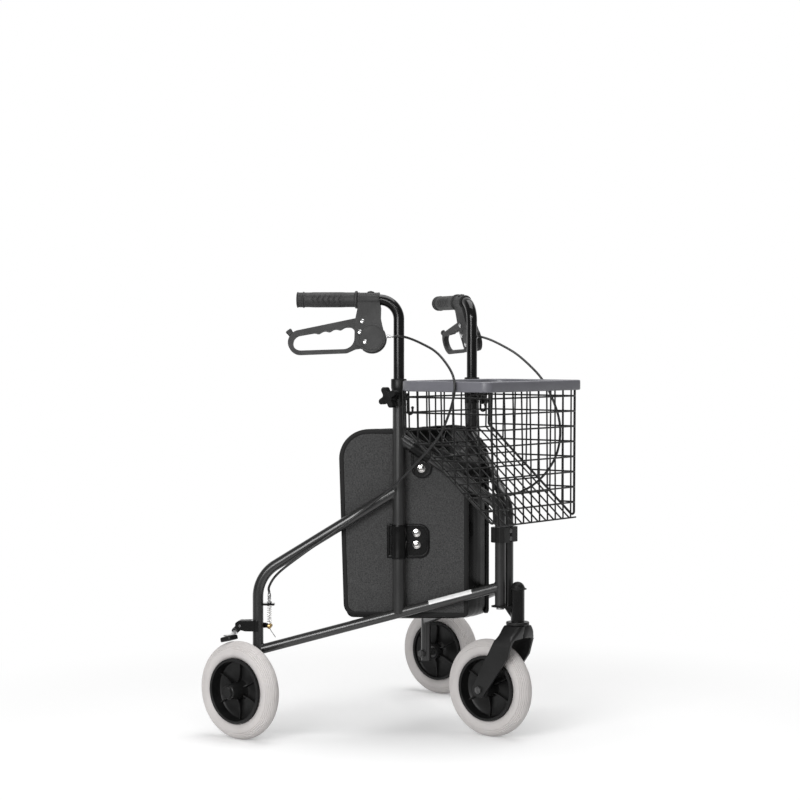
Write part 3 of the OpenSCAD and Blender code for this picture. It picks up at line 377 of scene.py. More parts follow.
def woven_height(tree, pitch):
    """Height of a plain weave, with the thread pitch in millimetres of the surface's own map."""
    threads = add_node(tree, "SeparateXYZ", add_node(tree, "TexCoord").outputs["UV"])
    waves = []
    for axis in "XY":
        scaled = add_node(tree, "Math", threads.outputs[axis], 2 * pi / pitch, operation="MULTIPLY")
        waves.append(add_node(tree, "Math", scaled.outputs["Value"], operation="SINE").outputs["Value"])
    return add_node(tree, "Math", *waves, operation="MULTIPLY").outputs["Value"]


LOOKS = {}


def add_look(key, slot, name, colour, roughness, metallic=0.0, coat=0.0, specular=0.5, sheen=0.0,
             tints=None, gloss=None, bumps=None, weave=None):
    """A material, kept under a key with the record's slot name stored beside it.

    tints, gloss and bumps give a noise's scale, and then what tint, polish and relief make of it.
    weave gives a thread's pitch, and then the same as bumps.
    """
    made = bpy.data.materials.new(name)
    made.use_nodes = True
    tree = made.node_tree
    settings = {"Base Color": rgba(colour), "Roughness": roughness, "Metallic": metallic, "Coat Weight": coat,
                "Coat Roughness": 0.08, "Specular IOR Level": specular, "Sheen Weight": sheen}
    for setting, value in settings.items():
        tree.nodes["Principled BSDF"].inputs[setting].default_value = value
    if tints:
        tint(tree, *tints)
    if gloss:
        polish(tree, *gloss)
    if bumps:
        scale, depth, strength, *detail = bumps
        relief(tree, noise(tree, scale, *detail), depth, strength)
    if weave:
        pitch, depth, strength = weave
        relief(tree, woven_height(tree, pitch), depth, strength)
    LOOKS[key] = (slot, made)


# Paints
add_look("graphite", "graphite_paint", "graphite_paint", 0.042, 0.28, metallic=0.6, coat=0.4,
         tints=(2500, 0.032, 0.052, 1.0), gloss=(14, 0.26, 0.38), bumps=(700, 0.05, 0.15))
add_look("black_paint", "black_paint", "black_paint", 0.005, 0.14, coat=0.25, specular=0.25,
         tints=(40, 0.004, 0.007), gloss=(22, 0.12, 0.22))
add_look("satin_paint", "black_paint", "satin_paint", 0.012, 0.4, specular=0.3,
         tints=(30, 0.01, 0.015), gloss=(25, 0.34, 0.46), bumps=(1500, 0.08, 0.25))
add_look("label", "graphite_paint", "blank_label", 0.8, 0.4, tints=(80, 0.74, 0.82))

# Plastics and rubber
for key, slot in (("plastic", "black_plastic"), ("hub", "hub_plastic")):
    add_look(key, slot, "black_plastic", 0.008, 0.42, specular=0.28,
             tints=(60, 0.006, 0.011), gloss=(35, 0.36, 0.5), bumps=(2200, 0.06, 0.3))
add_look("grip", "grip_plastic", "grip_plastic", 0.032, 0.52, specular=0.3,
         tints=(50, 0.027, 0.038), gloss=(30, 0.48, 0.62), bumps=(1800, 0.1, 0.35))
add_look("cable", "cable_casing", "cable_casing", 0.012, 0.4, tints=(200, 0.009, 0.016), gloss=(120, 0.34, 0.46))
add_look("tyre", "tyre_grey", "tyre_rubber", (0.56, 0.535, 0.525), 0.5, specular=0.4, gloss=(40, 0.42, 0.56),
         tints=(18, (0.53, 0.505, 0.495), (0.59, 0.565, 0.555), 6.0), bumps=(900, 0.12, 0.25))
add_look("rim", "rim_plastic", "rim_plastic", (0.135, 0.135, 0.152), 0.36, gloss=(30, 0.3, 0.42),
         tints=(20, (0.128, 0.128, 0.145), (0.145, 0.145, 0.163)), bumps=(2000, 0.05, 0.25))
add_look("wire", "wire_black", "wire_coat", 0.008, 0.4, specular=0.3,
         tints=(150, 0.006, 0.011), gloss=(100, 0.32, 0.5))

# Metals
add_look("steel", "steel", "steel", 0.62, 0.24, metallic=1.0, tints=(120, 0.5, 0.7), gloss=(300, 0.18, 0.34))
add_look("chrome", "steel", "chrome", (0.8772, 0.86, 0.8428), 0.1, metallic=1.0, gloss=(200, 0.06, 0.16))
add_look("dark_steel", "steel", "dark_steel", 0.12, 0.38, metallic=0.9,
         tints=(150, 0.08, 0.16), gloss=(200, 0.3, 0.5))
add_look("brass", "brass", "brass", (0.45, 0.31, 0.13), 0.3, metallic=1.0,
         tints=(300, (0.34, 0.22, 0.09), (0.55, 0.4, 0.19)), gloss=(300, 0.25, 0.45))

# Soft goods
add_look("cloth", "bag_cloth", "bag_cloth", 0.048, 0.8, specular=0.25, sheen=0.2,
         tints=(420, 0.026, 0.075, 4.0), weave=(1.6, 0.35, 0.6))
add_look("vinyl", "bag_vinyl", "bag_vinyl", 0.004, 0.4, specular=0.22,
         tints=(60, 0.003, 0.005), gloss=(30, 0.22, 0.36), bumps=(60, 0.8, 0.15, 4.0))
add_look("binding", "bag_vinyl", "binding_tape", 0.005, 0.6, specular=0.25, sheen=0.05,
         tints=(700, 0.004, 0.008), bumps=(1200, 0.2, 0.4))


def dress(look, *nodes):
    """Gives solids that stay in view their material."""
    for node in nodes:
        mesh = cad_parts[node].data
        mesh.materials.clear()
        mesh.materials.append(LOOKS[look][1])


def both(*nodes):
    return [f"{side}_{node}" for node in nodes for side in SIDES]


# Stage

LENS = 90.26
CAMERA_AT = (-3.337, POST_Y * 0.001 - 2.346, 0.804)
CAMERA_DROP = 1.6
CAMERA_HEADING = -51.91
FLOOR_REACH = 30
BACKDROP_WAY = (0.787, 0.617, 0)
FLOOR_GLOW = 0.25
ROOM_GLOW = 0.25


def stage():
    scene = bpy.context.scene
    scene.view_settings.view_transform = "Standard"
    camera = bpy.data.cameras.new("Camera")
    camera.sensor_width = 36
    camera.lens = LENS
    scene.camera = put("Camera", camera)
    scene.camera.location = CAMERA_AT
    scene.camera.rotation_euler = (radians(90 - CAMERA_DROP), 0, radians(CAMERA_HEADING))

    scene.world = bpy.data.worlds.new("Studio")
    scene.world.use_nodes = True
    sky(scene.world.node_tree)

    mesh = bpy.data.meshes.new("floor")
    r = FLOOR_REACH
    mesh.from_pydata([(-r, -r, 0), (r, -r, 0), (r, r, 0), (-r, r, 0)], [], [(0, 1, 2, 3)])
    floor = put("floor", mesh)
    mesh.materials.append(floor_look())

    lamp("key", (-3.4, -0.6, 1.5), (0, 0, 0.5), 1.6, 1.6, 66)
    lamp("strip", (-2.9, -1.7, 1.2), (0, 0, 0.6), 0.25, 1.6, 8)
    lamp("rail", (-2.2, -1.43, 1.75), (0, 0, 0.3), 2.4, 0.1, 10)
    lamp("top", (0.2, -0.2, 2.8), (0, 0, 0), 2.0, 2.0, 48)


def mixed(tree, share, low, high):
    """A value that runs from low to high with a share."""
    return add_node(tree, "Mix", Factor=share, A=low, B=high).outputs[0]


def eased(tree, source, start, end, low, high):
    """A source between start and end, carried over smoothly to the span from low to high."""
    spread = add_node(tree, "MapRange", source, start, end, low, high)
    spread.interpolation_type = "SMOOTHSTEP"
    return spread.outputs["Result"]


def seen_share(tree):
    """1 for rays that show the backdrop: straight to the camera, mirrored or through glass."""
    path = add_node(tree, "LightPath").outputs
    total = path["Is Camera Ray"]
    for name in ("Is Glossy Ray", "Is Transmission Ray"):
        total = add_node(tree, "Math", total, path[name], operation="MAXIMUM").outputs["Value"]
    return total


def white_seen(tree, mirrored):
    """1 for rays straight to the camera, and the mirrored value for others."""
    return mixed(tree, add_node(tree, "LightPath").outputs["Is Camera Ray"], mirrored, 1.0)


def towards_backdrop(tree, way):
    return add_node(tree, "VectorMath", way, BACKDROP_WAY, operation="DOT_PRODUCT").outputs["Value"]


def sky(tree):
    """White where it is seen. Mirrors show that white towards the backdrop and a dimmer room on other sides."""
    way = add_node(tree, "TexCoord").outputs["Generated"]
    mirrored = eased(tree, towards_backdrop(tree, way), 0.25, 0.85, 0.15, 1.0)
    strength = mixed(tree, seen_share(tree), ROOM_GLOW, mirrored)
    ground = tree.nodes["Background"]
    ground.inputs["Color"].default_value = (1, 1, 1, 1)
    tree.links.new(white_seen(tree, strength), ground.inputs["Strength"])


def floor_look():
    """A pale matt floor that keeps the shadows and runs out to plain white where it is seen far off.

    Mirrors show that white towards the backdrop and a dimmer floor on the other side.
    """
    made = bpy.data.materials.new("floor")
    made.use_nodes = True
    tree = made.node_tree
    tree.nodes.remove(tree.nodes["Principled BSDF"])
    seen = seen_share(tree)
    matt = add_node(tree, "BsdfDiffuse", Color=(0.8, 0.8, 0.8, 1))
    glow = add_node(tree, "Emission", Strength=mixed(tree, seen, 0.0, FLOOR_GLOW))
    near = add_node(tree, "AddShader", matt.outputs["BSDF"], glow.outputs["Emission"])
    place = add_node(tree, "TexCoord").outputs["Object"]
    mirrored = eased(tree, towards_backdrop(tree, place), -1.0, 1.5, 0.3, 1.0)
    white = add_node(tree, "Emission", Strength=white_seen(tree, mirrored))
    distance = add_node(tree, "VectorMath", place, operation="LENGTH").outputs["Value"]
    far = mixed(tree, seen, 0.0, eased(tree, distance, 0.45, 1.3, 0.0, 1.0))
    surface = add_node(tree, "MixShader", far, near.outputs["Shader"], white.outputs["Emission"])
    tree.links.new(surface.outputs["Shader"], tree.nodes["Material Output"].inputs["Surface"])
    return made


def lamp(name, place, target, width, height, power):
    light = bpy.data.lights.new(name, "AREA")
    light.shape = "RECTANGLE"
    light.size = width
    light.size_y = height
    light.energy = power
    holder = put(name, light)
    holder.location = place
    holder.rotation_euler = (Vector(target) - Vector(place)).to_track_quat("-Z", "Y").to_euler()


# Wheels

TYRE_SECTION_R = 19
TYRE_SEAT_R = 66.5
TREAD_GROOVES = range(-72, 73, 12)
GROOVE_DEPTH = 1.2
GROOVE_SPREAD = 2.1


def tyre_profile():
    """A fat round section with fine grooves round the tread."""
    middle = WHEEL_R - TYRE_SECTION_R
    points = []
    for i in range(-146, 147, 2):
        dip = sum(GROOVE_DEPTH * math.exp(-((i - g) / GROOVE_SPREAD) ** 2) for g in TREAD_GROOVES)
        r = TYRE_SECTION_R - dip
        radius = max(middle + r * cos(radians(i)), TYRE_SEAT_R)
        points.append((radius, r * sin(radians(i))))
    return points


# The hub's section, as pairs of radius and distance out: rim, web, one of two bosses, and back to the rim
HUB_RIM = [(66.4, -19), (66.4, 19), (65.6, 20), (61.4, 20), (60.4, 19), (59.4, 2), (58.2, -3), (54, -5.6)]
HUB_WEB = [(26, -5.6), (20.5, -4), (18, 0), (17, 6)]
OPEN_BOSS = [(17, 32), (16, 33), (13, 33), (13, -33), (16, -33), (17, -32)]
HUB_BACK = [(17.4, -14), (20.5, -11), (26, -10), (56, -10), (60, -12.5), (60.4, -19), (61.4, -20), (65.6, -20)]
CAP_OUT = 42


def capped_boss(end):
    """A boss with a stepped nose and a closed end."""
    nose = [(15.4, end - 10), (14.6, end - 7.5), (12.8, end - 6.2), (12.4, end - 1), (11.6, end), (9.2, end),
            (8.8, end - 0.8), (0.4, end - 0.8), (0.4, end - 4)]
    return nose + [(11, end - 4), (11, end - 9), (13, end - 9.5), (13, -33), (17, -33)]


RIB_OUTLINE = [(15.5, -8), (61.5, -8), (61.5, 4), (54, 1), (40, 0), (26, 3), (15.5, 10)]
BACK_RIB_OUTLINE = [(15.5, -8), (61.5, -8), (61.5, -15), (50, -15), (26, -18), (15.5, -26)]
RIB_HALF = 1.1


def wheel(at, boss, side=None):
    prefix = "" if side else "front_"
    body = prefix + "wheel"
    bm = bmesh.new()
    lathe(bm, tyre_profile(), steps=160, closed=True)
    piece(prefix + "tyre_tread", bm, body, "tyre", at, side, [prefix + "tyre"], sharp=60)
    bm = bmesh.new()
    lathe(bm, HUB_RIM + HUB_WEB + boss + HUB_BACK, steps=96, closed=True)
    for i in range(6):
        for outline in (RIB_OUTLINE, BACK_RIB_OUTLINE):
            plate(bm, rounded(outline, 4, 3), -RIB_HALF, RIB_HALF, turn(60 * i, "Z") @ STANDING)
    piece(prefix + "hub_dish", bm, body, "hub", at, side, [prefix + "hub"], bevel=0.5)


def wheels():
    for side in SIDES:
        wheel(AT_REAR_WHEEL, capped_boss(CAP_OUT), side)
    wheel(AT_FRONT_WHEEL, OPEN_BOSS)
    dress("dark_steel", *both("bearings", "axle"), "front_bearings", "front_axle")


# Caster fork and front hinge

def squarish(half_x, half_y, z, power, steps=48):
    """A ring that runs from round at power 2 towards square at higher powers."""
    ring = []
    for a in around(steps):
        c, s = cos(a), sin(a)
        ring.append((half_x * math.copysign(abs(c) ** (2 / power), c),
                     half_y * math.copysign(abs(s) ** (2 / power), s), z))
    return ring


LEG_IN = 34
LEG_OUT = 40
LEG_TOP_Z = 205
LEG_FOOT_R = 16
# Rings from a fork leg up to the crown: height, inner and outer X, front and back Y
FORK_SHOULDER = [(186, 34.6, 39.4, -3, 34), (196, 33.8, 40.2, -8, 32), (203, 32.5, 40.3, -12, 30.5),
                 (206.5, 27, 40.1, -13.5, 29), (208.5, -1, 39.8, -15, 28), (214, -1, 38.5, -17.5, 25.5),
                 (219, -1, 35.5, -19.5, 24), (224, -1, 31.8, -21, 23.5), (228, -1, 28.6, -21.5, 23),
                 (231.5, -1, 25.6, -22, 22.5), (233.5, -1, 23.6, -22, 22), (234.5, -1, 21, -19, 19)]
# The shoulder's corners round off more above this height
SHOULDER_Z = 203


def fork():
    """Two legs that run through broad shoulders into the crown, with the flange under the head."""
    bm = bmesh.new()
    lathe(bm, [(20, 233), (22.5, 235), (23.5, 236), (23.5, 240.3), (22.4, 241.4)], AT_HEAD)
    foot = arc(CASTER_Y - HEAD_Y, WHEEL_R, LEG_FOOT_R, 205, 395, 20)
    leg = [(30, LEG_TOP_Z), (-12.5, LEG_TOP_Z), (-3, 172)] + foot
    for hand in (IDENTITY, MIRROR):
        plate(bm, leg, LEG_IN, LEG_OUT, AT_HEAD @ hand @ ENDWISE)
        rings = []
        for z, inner, outer, front, back in FORK_SHOULDER:
            corner_r = 2 + min(9, max(0, z - SHOULDER_Z) * 0.8)
            rings.append([(p.x, p.y, z) for p in rounded_box(inner, outer, front, back, corner_r)])
        loft(bm, rings, AT_HEAD @ hand)
    piece("fork_shell", bm, "caster", "satin_paint", replaces=["caster_fork"], bevel=1.2)
    dress("dark_steel", "caster_stem")
    dress("plastic", "head_bushes")
    dress("steel", "hinge_pins")


CAP_LOW_Z = 307.5


def hinge():
    dress("black_paint", "hinge_bracket")
    bm = bmesh.new()
    cap = [(14.6, CAP_LOW_Z), (15, CAP_LOW_Z + 1), (15, CAP_LOW_Z + 3.5)] + arc(0, 308, 14.6, 15, 84, 10)
    lathe(bm, cap, AT_HEAD)
    plate(bm, rounded_box(-4.5, 4.5, -19.5, -10, 2), CAP_LOW_Z, CAP_LOW_Z + 3, AT_HEAD)
    piece("head_dome", bm, "front_hinge", "plastic", replaces=["head_cap"], bevel=0.6)
    clamp()


CLAMP_HALF_H = 15.5
CLAMP_SEAM = 0.4
CLAMP_ROOM = 0.3


def clamp():
    """Two plastic halves round both front posts, drawn together by two screws."""
    half = [(30, CLAMP_SEAM), (30, 9), (24, 16.5), (3, 16.5), (3, 14), (-3, 14), (-3, 16.5), (-24, 16.5), (-30, 9),
            (-30, CLAMP_SEAM)]
    for post_x in (-POST_HALF, POST_HALF):
        half += [(x, max(y, CLAMP_SEAM)) for x, y in arc(post_x, 0, FRAME_R + CLAMP_ROOM, 178, 2, 20)]
    bm = bmesh.new()
    for sign in (-1, 1):
        plate(bm, [(x, sign * y) for x, y in half], CLAMP_Z - CLAMP_HALF_H, CLAMP_Z + CLAMP_HALF_H, AT_POSTS)
    piece("clamp_halves", bm, "front_hinge", "plastic", replaces=["hinge_clamp"], bevel=0.9)
    bm = bmesh.new()
    for z in (-8, 8):
        for sign in (-1, 1):
            head = AT_POSTS @ shift(0, sign * 14, CLAMP_Z + z) @ turn(-90 * sign, "X")
            lathe(bm, [(4.6, 0), (4.6, 2.6), (4, 3.2)], head, steps=6 if sign > 0 else 32)
    piece("clamp_screws", bm, "front_hinge", "dark_steel", bevel=0.3)


# Side frames

WELD_STEPS = 48
WELD_RIPPLES = 16


def weld_bead(bm, start, along, branch_r, main_point, main_along, main_r):
    """A bead where a branch tube's surface meets the main tube's surface."""
    along = Vector(along).normalized()
    start = Vector(start)
    main_along = Vector(main_along).normalized()
    side = along.orthogonal().normalized()
    up = along.cross(side)
    path = []
    for a in around(WELD_STEPS):
        p = start + branch_r * (cos(a) * side + sin(a) * up)
        gap = p - Vector(main_point)
        gap -= main_along * gap.dot(main_along)
        step = along - main_along * along.dot(main_along)
        b = gap.dot(step)
        inside = b * b - step.length_squared * (gap.length_squared - main_r * main_r)
        path.append(p + along * ((-b + math.sqrt(max(inside, 0))) / step.length_squared))
    rings = []
    for i, p in enumerate(path):
        ahead = (path[(i + 1) % WELD_STEPS] - path[i - 1]).normalized()
        out = (p - start) - along * (p - start).dot(along)
        out = (out - ahead * out.dot(ahead)).normalized()
        across = ahead.cross(out)
        r = 1.45 + 0.2 * sin(2 * pi * i * WELD_RIPPLES / WELD_STEPS)
        rings.append([p + r * (cos(t) * out + sin(t) * across) for t in around(8)])
    loft(bm, rings, closed=True)


def frame_tubes(side):
    """Weld beads where the tubes meet, and the plug in the rear post's foot."""
    bm = bmesh.new()
    fall = Vector((1, 0, LOWER_FALL))
    up = (0, 0, 1)
    weld_bead(bm, (0, 0, LOWER_FRONT_Z), fall, LOWER_R, (0, 0, 0), up, FRAME_R)
    weld_bead(bm, (REAR_S, 0, LOWER_REAR_Z), -fall, LOWER_R, (REAR_S, 0, 0), up, FRAME_R)
    lower_z = LOWER_FRONT_Z + LOWER_FALL * UPRIGHT_S
    weld_bead(bm, (UPRIGHT_S, 0, lower_z), up, LOWER_R - 0.6, (UPRIGHT_S, 0, lower_z), fall, LOWER_R)
    rear_run = Vector((REAR_S - UPRIGHT_S, 0, REAR_CORNER_Z - REAR_JOINT_Z))
    weld_bead(bm, (UPRIGHT_S, 0, REAR_JOINT_Z), rear_run, FRAME_R, (UPRIGHT_S, 0, 0), up, UPRIGHT_R)
    front_run = Vector((-UPRIGHT_S, 0, FRONT_CORNER_Z - FRONT_JOINT_Z))
    weld_bead(bm, (UPRIGHT_S, 0, FRONT_JOINT_Z), front_run, FRAME_R, (UPRIGHT_S, 0, 0), up, UPRIGHT_R)
    piece("welds", bm, "frame", "graphite", AT_SIDE, side)
    bm = bmesh.new()
    lathe(bm, [(10.6, 82.2), (11, 83), (11, 84), (9.2, 84.2), (9.2, 92)], shift(REAR_S, 0, 0), steps=48)
    piece("post_plug", bm, "frame", "plastic", AT_SIDE, side)


HOOK_TIP = (0, -35.2, 675)


def collar(side):
    """Collar with its boss and flange, and the wire hook that carries the basket."""
    bm = bmesh.new()
    lathe(bm, [(12.8, 678), (14.8, 678), (15.5, 678.8), (15.5, 683), (15.1, 683.6), (15.1, 712), (15.5, 713),
               (15.8, 714), (16, 716), (16, 731.5), (15, 733), (11.4, 733), (11.4, 709), (12.8, 708)], closed=True)
    lathe(bm, [(9.4, 12), (9, 18), (9, 20), (8.2, 21), (4.2, 21)], shift(0, 0, KNOB_Z) @ turn(-90, "Y"), steps=40)
    plate(bm, rounded_box(-12, 12, -19.5, -13, 3), 690, 704)
    piece("collar_body", bm, "frame", "plastic", AT_UPRIGHT, side, ["height_collar"], bevel=0.5)
    bm = bmesh.new()
    hook = [(0, -12.7, 693), (0, -22.7, 693), (0, -22.7, 661.7), (0, -35.2, 661.7), HOOK_TIP]
    sweep(bm, rounded(hook, 6.2, 8, closed=False), 2.2)
    lathe(bm, [(0.6, -3.1), (2, -2.5), (3, -1), (3.2, 0), (3, 1), (2, 2.5), (0.6, 3.1)], shift(*HOOK_TIP), 24)
    piece("basket_hook", bm, "frame", "wire", AT_UPRIGHT, side)


def knob(side):
    at = AT_UPRIGHT @ shift(0, 0, KNOB_Z) @ turn(-90, "Y")
    bm = bmesh.new()
    arm = arc(17, 0, 6, -90, 90, 12) + arc(11, 11, 5, -90, -180, 6)
    outline = [turn(30 + 90 * i, "Z") @ Vector((*p, 0)) for i in range(4) for p in arm]
    plate(bm, outline, 26, 40)
    piece("knob_star", bm, "knob", "plastic", at, side, ["knob"], bevel=2.2, sharp=50)
    bm = bmesh.new()
    lathe(bm, [(4, 14.2), (4, 22), (7.6, 21.4), (8, 22), (8.6, 26.5)], steps=40)
    lathe(bm, [(8, 39.5), (8, 40.5), (7.4, 41), (2, 41)], steps=40)
    piece("knob_neck", bm, "knob", "plastic", at, side)


# Handles and brakes

GRIP_START = 84.5
GRIP_END = 208.5
GRIP_STEPS = 200
GRIP_R = 15.1
PAD_START = 112
PAD_END = 178
CHEVRON_PITCH = 11
KNURL_START = 190
KNURL_PITCH = 6


def grip_radius(s, a):
    """Radius of the grip: finger pads with chevron grooves in the middle, diamond knurling at the end."""
    r = GRIP_R
    pad = 1 / (1 + math.exp(-(s - PAD_START) / 1.5)) - 1 / (1 + math.exp(-(s - PAD_END) / 1.5))
    wave = (s + 9 * abs(sin(a))) * 2 * pi / CHEVRON_PITCH
    at_side = max(0, 1 - (sin(a) / 0.62) ** 2)
    r += pad * (0.5 - 1.5 * min(1, 2 * at_side) * max(0, cos(wave) - 0.5) / 0.5)
    if s > KNURL_START:
        knurl = (s - KNURL_START) * 2 * pi / KNURL_PITCH
        r += 0.45 * cos(knurl + 9 * a) * cos(knurl - 9 * a)
    ends = min(s - GRIP_START, GRIP_END - s)
    return r - max(0, 2 - ends) * 0.8


def grip(side):
    bm = bmesh.new()
    rings = []
    for i in range(GRIP_STEPS + 1):
        s = GRIP_START + (GRIP_END - GRIP_START) * i / GRIP_STEPS
        rings.append([(s, grip_radius(s, a) * cos(a), grip_radius(s, a) * sin(a)) for a in around(90)])
    loft(bm, rings)
    lathe(bm, [(11.2, 84.2), (17, 84.2), (18, 85), (18, 88), (17.2, 89), (14, 90.5)], LENGTHWISE)
    lathe(bm, [(15.2, 193), (16.3, 194), (16.5, 195), (16.3, 196), (15.2, 197)], LENGTHWISE)
    lathe(bm, [(15, 206), (16.2, 206.6), (16.2, 207.6), (14.5, 208.5), (4, 208.5)], LENGTHWISE)
    piece("grip_sleeve", bm, "handle", "grip", AT_HANDLE, side, ["grip"], sharp=50)


BODY_AT = (53.3, -80.8)
BODY_R = 29.4
HOUSING_FRONT = [(29.5, -66), (33.4, -51.6), (36.7, -36.7), (36.6, -15.8)]
HOUSING_BACK = [(39, 0), (84, 0), (83, -21.7), (87.3, -45.6), (87.7, -66.5), (83.1, -97.8), (71.3, -102.2)]
CHEEK_IN = 6.3
CHEEK_OUT = 12
LEVER_PIN = (72.2, -48.5)
SCREW_SPOTS = [(76.9, -70.9), (65.6, -91.4)]
BARREL_DROP = 76.9
BUMP_S = 57.5


def brake_housing(side):
    bm = bmesh.new()
    outline = HOUSING_BACK + arc(*BODY_AT, BODY_R, -50, -205, 30) + HOUSING_FRONT
    for low, high in ((-CHEEK_OUT, -CHEEK_IN), (CHEEK_IN, CHEEK_OUT)):
        plate(bm, outline, low, high, STANDING)
    core = (HOUSING_BACK[:3] + [(83.8, -27), (58, -30)] + arc(*BODY_AT, BODY_R - 1.2, -84, -205, 20)
            + HOUSING_FRONT)
    plate(bm, core, -CHEEK_IN - 0.2, CHEEK_IN + 0.2, STANDING)
    piece("housing_cheeks", bm, "handle", "grip", AT_BRAKE, side, ["brake_housing"], bevel=1.6)
    bm = bmesh.new()
    lathe(bm, [(14.2, 39), (15, 39.8), (15, 42), (14.6, 42.5), (14.6, 79.5), (15, 80), (15, 82.8), (14.2, 83.6)],
          LENGTHWISE)
    for sign in (-1, 1):
        face = shift(BODY_AT[0], 0, BODY_AT[1]) @ turn(-90 * sign, "X")
        lathe(bm, [(27.3, CHEEK_OUT - 0.6), (27.3, CHEEK_OUT + 0.2), (26.7, CHEEK_OUT + 0.8),
                   (24.3, CHEEK_OUT + 0.8), (23.7, CHEEK_OUT + 0.2), (23.7, CHEEK_OUT - 0.6)], face, closed=True)
    plate(bm, rounded_box(43, 79, -12.3, 12.3, 3), 4, 9)
    lathe(bm, [(7.5, 10), (7.5, 15.4), (6.8, 16.2), (3.2, 16.2), (3, 15)], shift(BUMP_S, 0, 0), steps=32)
    piece("housing_clamp", bm, "handle", "grip", AT_BRAKE, side, bevel=0.4)
    bm = bmesh.new()
    lathe(bm, [(3.8, 14), (3.8, 17.2), (3, 17.8), (1, 17.8)], shift(BUMP_S, 0, 0), steps=24)
    piece("clamp_bolt", bm, "handle", "dark_steel", AT_BRAKE, side)


def brake_fittings(side):
    bm = bmesh.new()
    for x, z in [LEVER_PIN, *SCREW_SPOTS]:
        for sign in (-1, 1):
            dome(bm, 4.9, 2.4, shift(x, sign * (CHEEK_OUT - 0.2), z) @ turn(-90 * sign, "X"))
    lathe(bm, [(2.9, -12), (2.9, 12)], shift(LEVER_PIN[0], 0, LEVER_PIN[1]) @ turn(90, "X"), steps=24)
    barrel = shift(0, 0, -BARREL_DROP) @ LENGTHWISE
    lathe(bm, [(2.6, 9), (2.8, 9.6), (2.8, 12.4), (2.2, 13), (2.2, 15), (3.5, 15.6), (3.5, 17.2), (2.9, 17.6),
               (2.9, 18.2), (3.5, 18.6), (3.5, 20.4), (2.9, 20.8), (2.9, 21.4), (4.4, 21.8), (4.4, 27.5)], barrel, 24)
    piece("housing_rivets", bm, "handle", "steel", AT_BRAKE, side, ["housing_fittings"])


LEVER_OUTLINE = ([(63, -41), (88, -40.4), (210, -66.4)] + arc(199, -90, 25, 42, -93, 12)
                 + [(103.7, -111.2), (86.5, -103.1), (70, -101), (63, -60)])
FINGER_BUMPS = (118, 140, 162)
# Each ring of the stub at the lever's end: half width, half depth and height
LEVER_STUB = [(6, 4.2, -2), (6, 4.2, 3.6), (6.6, 4.6, 4), (6.6, 4.6, 7.5), (5.8, 4, 8.3)]
OPENING_START = 105.5
OPENING_END = 198.5


def lever_opening():
    """The finger opening: a bumpy upper edge and round ends."""
    upper = []
    for i in range(31):
        s = OPENING_START + (OPENING_END - OPENING_START) * i / 30
        bump = sum(3.6 * math.exp(-((s - c) / 5.5) ** 2) for c in FINGER_BUMPS)
        upper.append((s, -57.6 - 0.183 * (s - OPENING_START) - bump))
    return (upper + arc(197.2, -91.2, 16.6, 76, -92, 14) + arc(110.5, -82.6, 22.3, -92, -180, 10)
            + arc(100.2, -69.4, 12, 180, 100, 8))


def brake_lever(side):
    bm = bmesh.new()
    plate(bm, rounded(LEVER_OUTLINE, 14, 6), -5.8, 5.8, STANDING, [lever_opening()])
    piece("lever_loop", bm, "lever", "grip", AT_BRAKE, side, ["brake_lever"], bevel=2.6, sharp=50)
    bm = bmesh.new()
    loft(bm, [squarish(*ring, 3, 24) for ring in LEVER_STUB], shift(219.5, 0, -71) @ turn(38, "Y"))
    piece("lever_stub", bm, "lever", "grip", AT_BRAKE, side)


CABLE_S = 474
ADJUSTER_TOP_Z = 293
CABLE_R = 2.5
# A cable passes from its handle to its frame between these: outboard, back from the posts and up, in metres
# Cable routes: X counts outboard, and Y back from the posts
CABLE_ROUTES = {
    "right": [(143, 136, 816), (154, 97, 806), (165, 51, 789), (173, 17, 764), (176, -2, 737), (177, -4, 705),
              (174, 15, 657), (169, 45, 614), (161, 106, 562), (158, 166, 514), (193, 249, 444), (248, 333, 372),
              (270, 376, 334)],
    "left": [(145, 139, 813), (153, 114, 801), (163, 84, 783), (172, 55, 758), (176, 29, 732), (177, 6, 698),
             (177, -14, 652), (177, -18, 610), (175, -8, 567), (172, 20, 527), (167, 62, 496), (162, 120, 478),
             (167, 185, 475), (193, 249, 444), (248, 333, 372), (270, 376, 334)],
}


def barrel_point(s):
    p = AT_POSTS.inverted() @ AT_BRAKE @ Vector((s, 0, -BARREL_DROP))
    return (-p.x, p.y, p.z)


def cable_end(z):
    return (POST_HALF + CABLE_S * sin(radians(SPLAY)), CABLE_S * cos(radians(SPLAY)), z)


def brake_cable(side):
    route = [barrel_point(8.4), barrel_point(-5), *CABLE_ROUTES[side], cable_end(ADJUSTER_TOP_Z + 14),
             cable_end(ADJUSTER_TOP_Z + 0.6)]
    points = smooth_curve(route, 8)
    bm = bmesh.new()
    sweep(bm, points, CABLE_R, sides=14)
    casing = piece("cable_casing", bm, None, "cable", AT_POSTS @ MIRROR, side, ["brake_cable"])
    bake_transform(casing)


BRAKE_PIVOT = (533, 226)
WIRE_CLAMP_Z = 224
ARM_TAIL = (548, 212)
SPRING_R = 4.3
SPRING_FOOT_Z = 228.8
SPRING_TOP_Z = 267.7
SPRING_TURNS = 8
TURN_STEPS = 20
BARE_WIRE_R = 0.8
AT_CABLE = AT_SIDE @ shift(CABLE_S, 0, 0)
AT_PIVOT = AT_SIDE @ shift(BRAKE_PIVOT[0], 0, BRAKE_PIVOT[1])


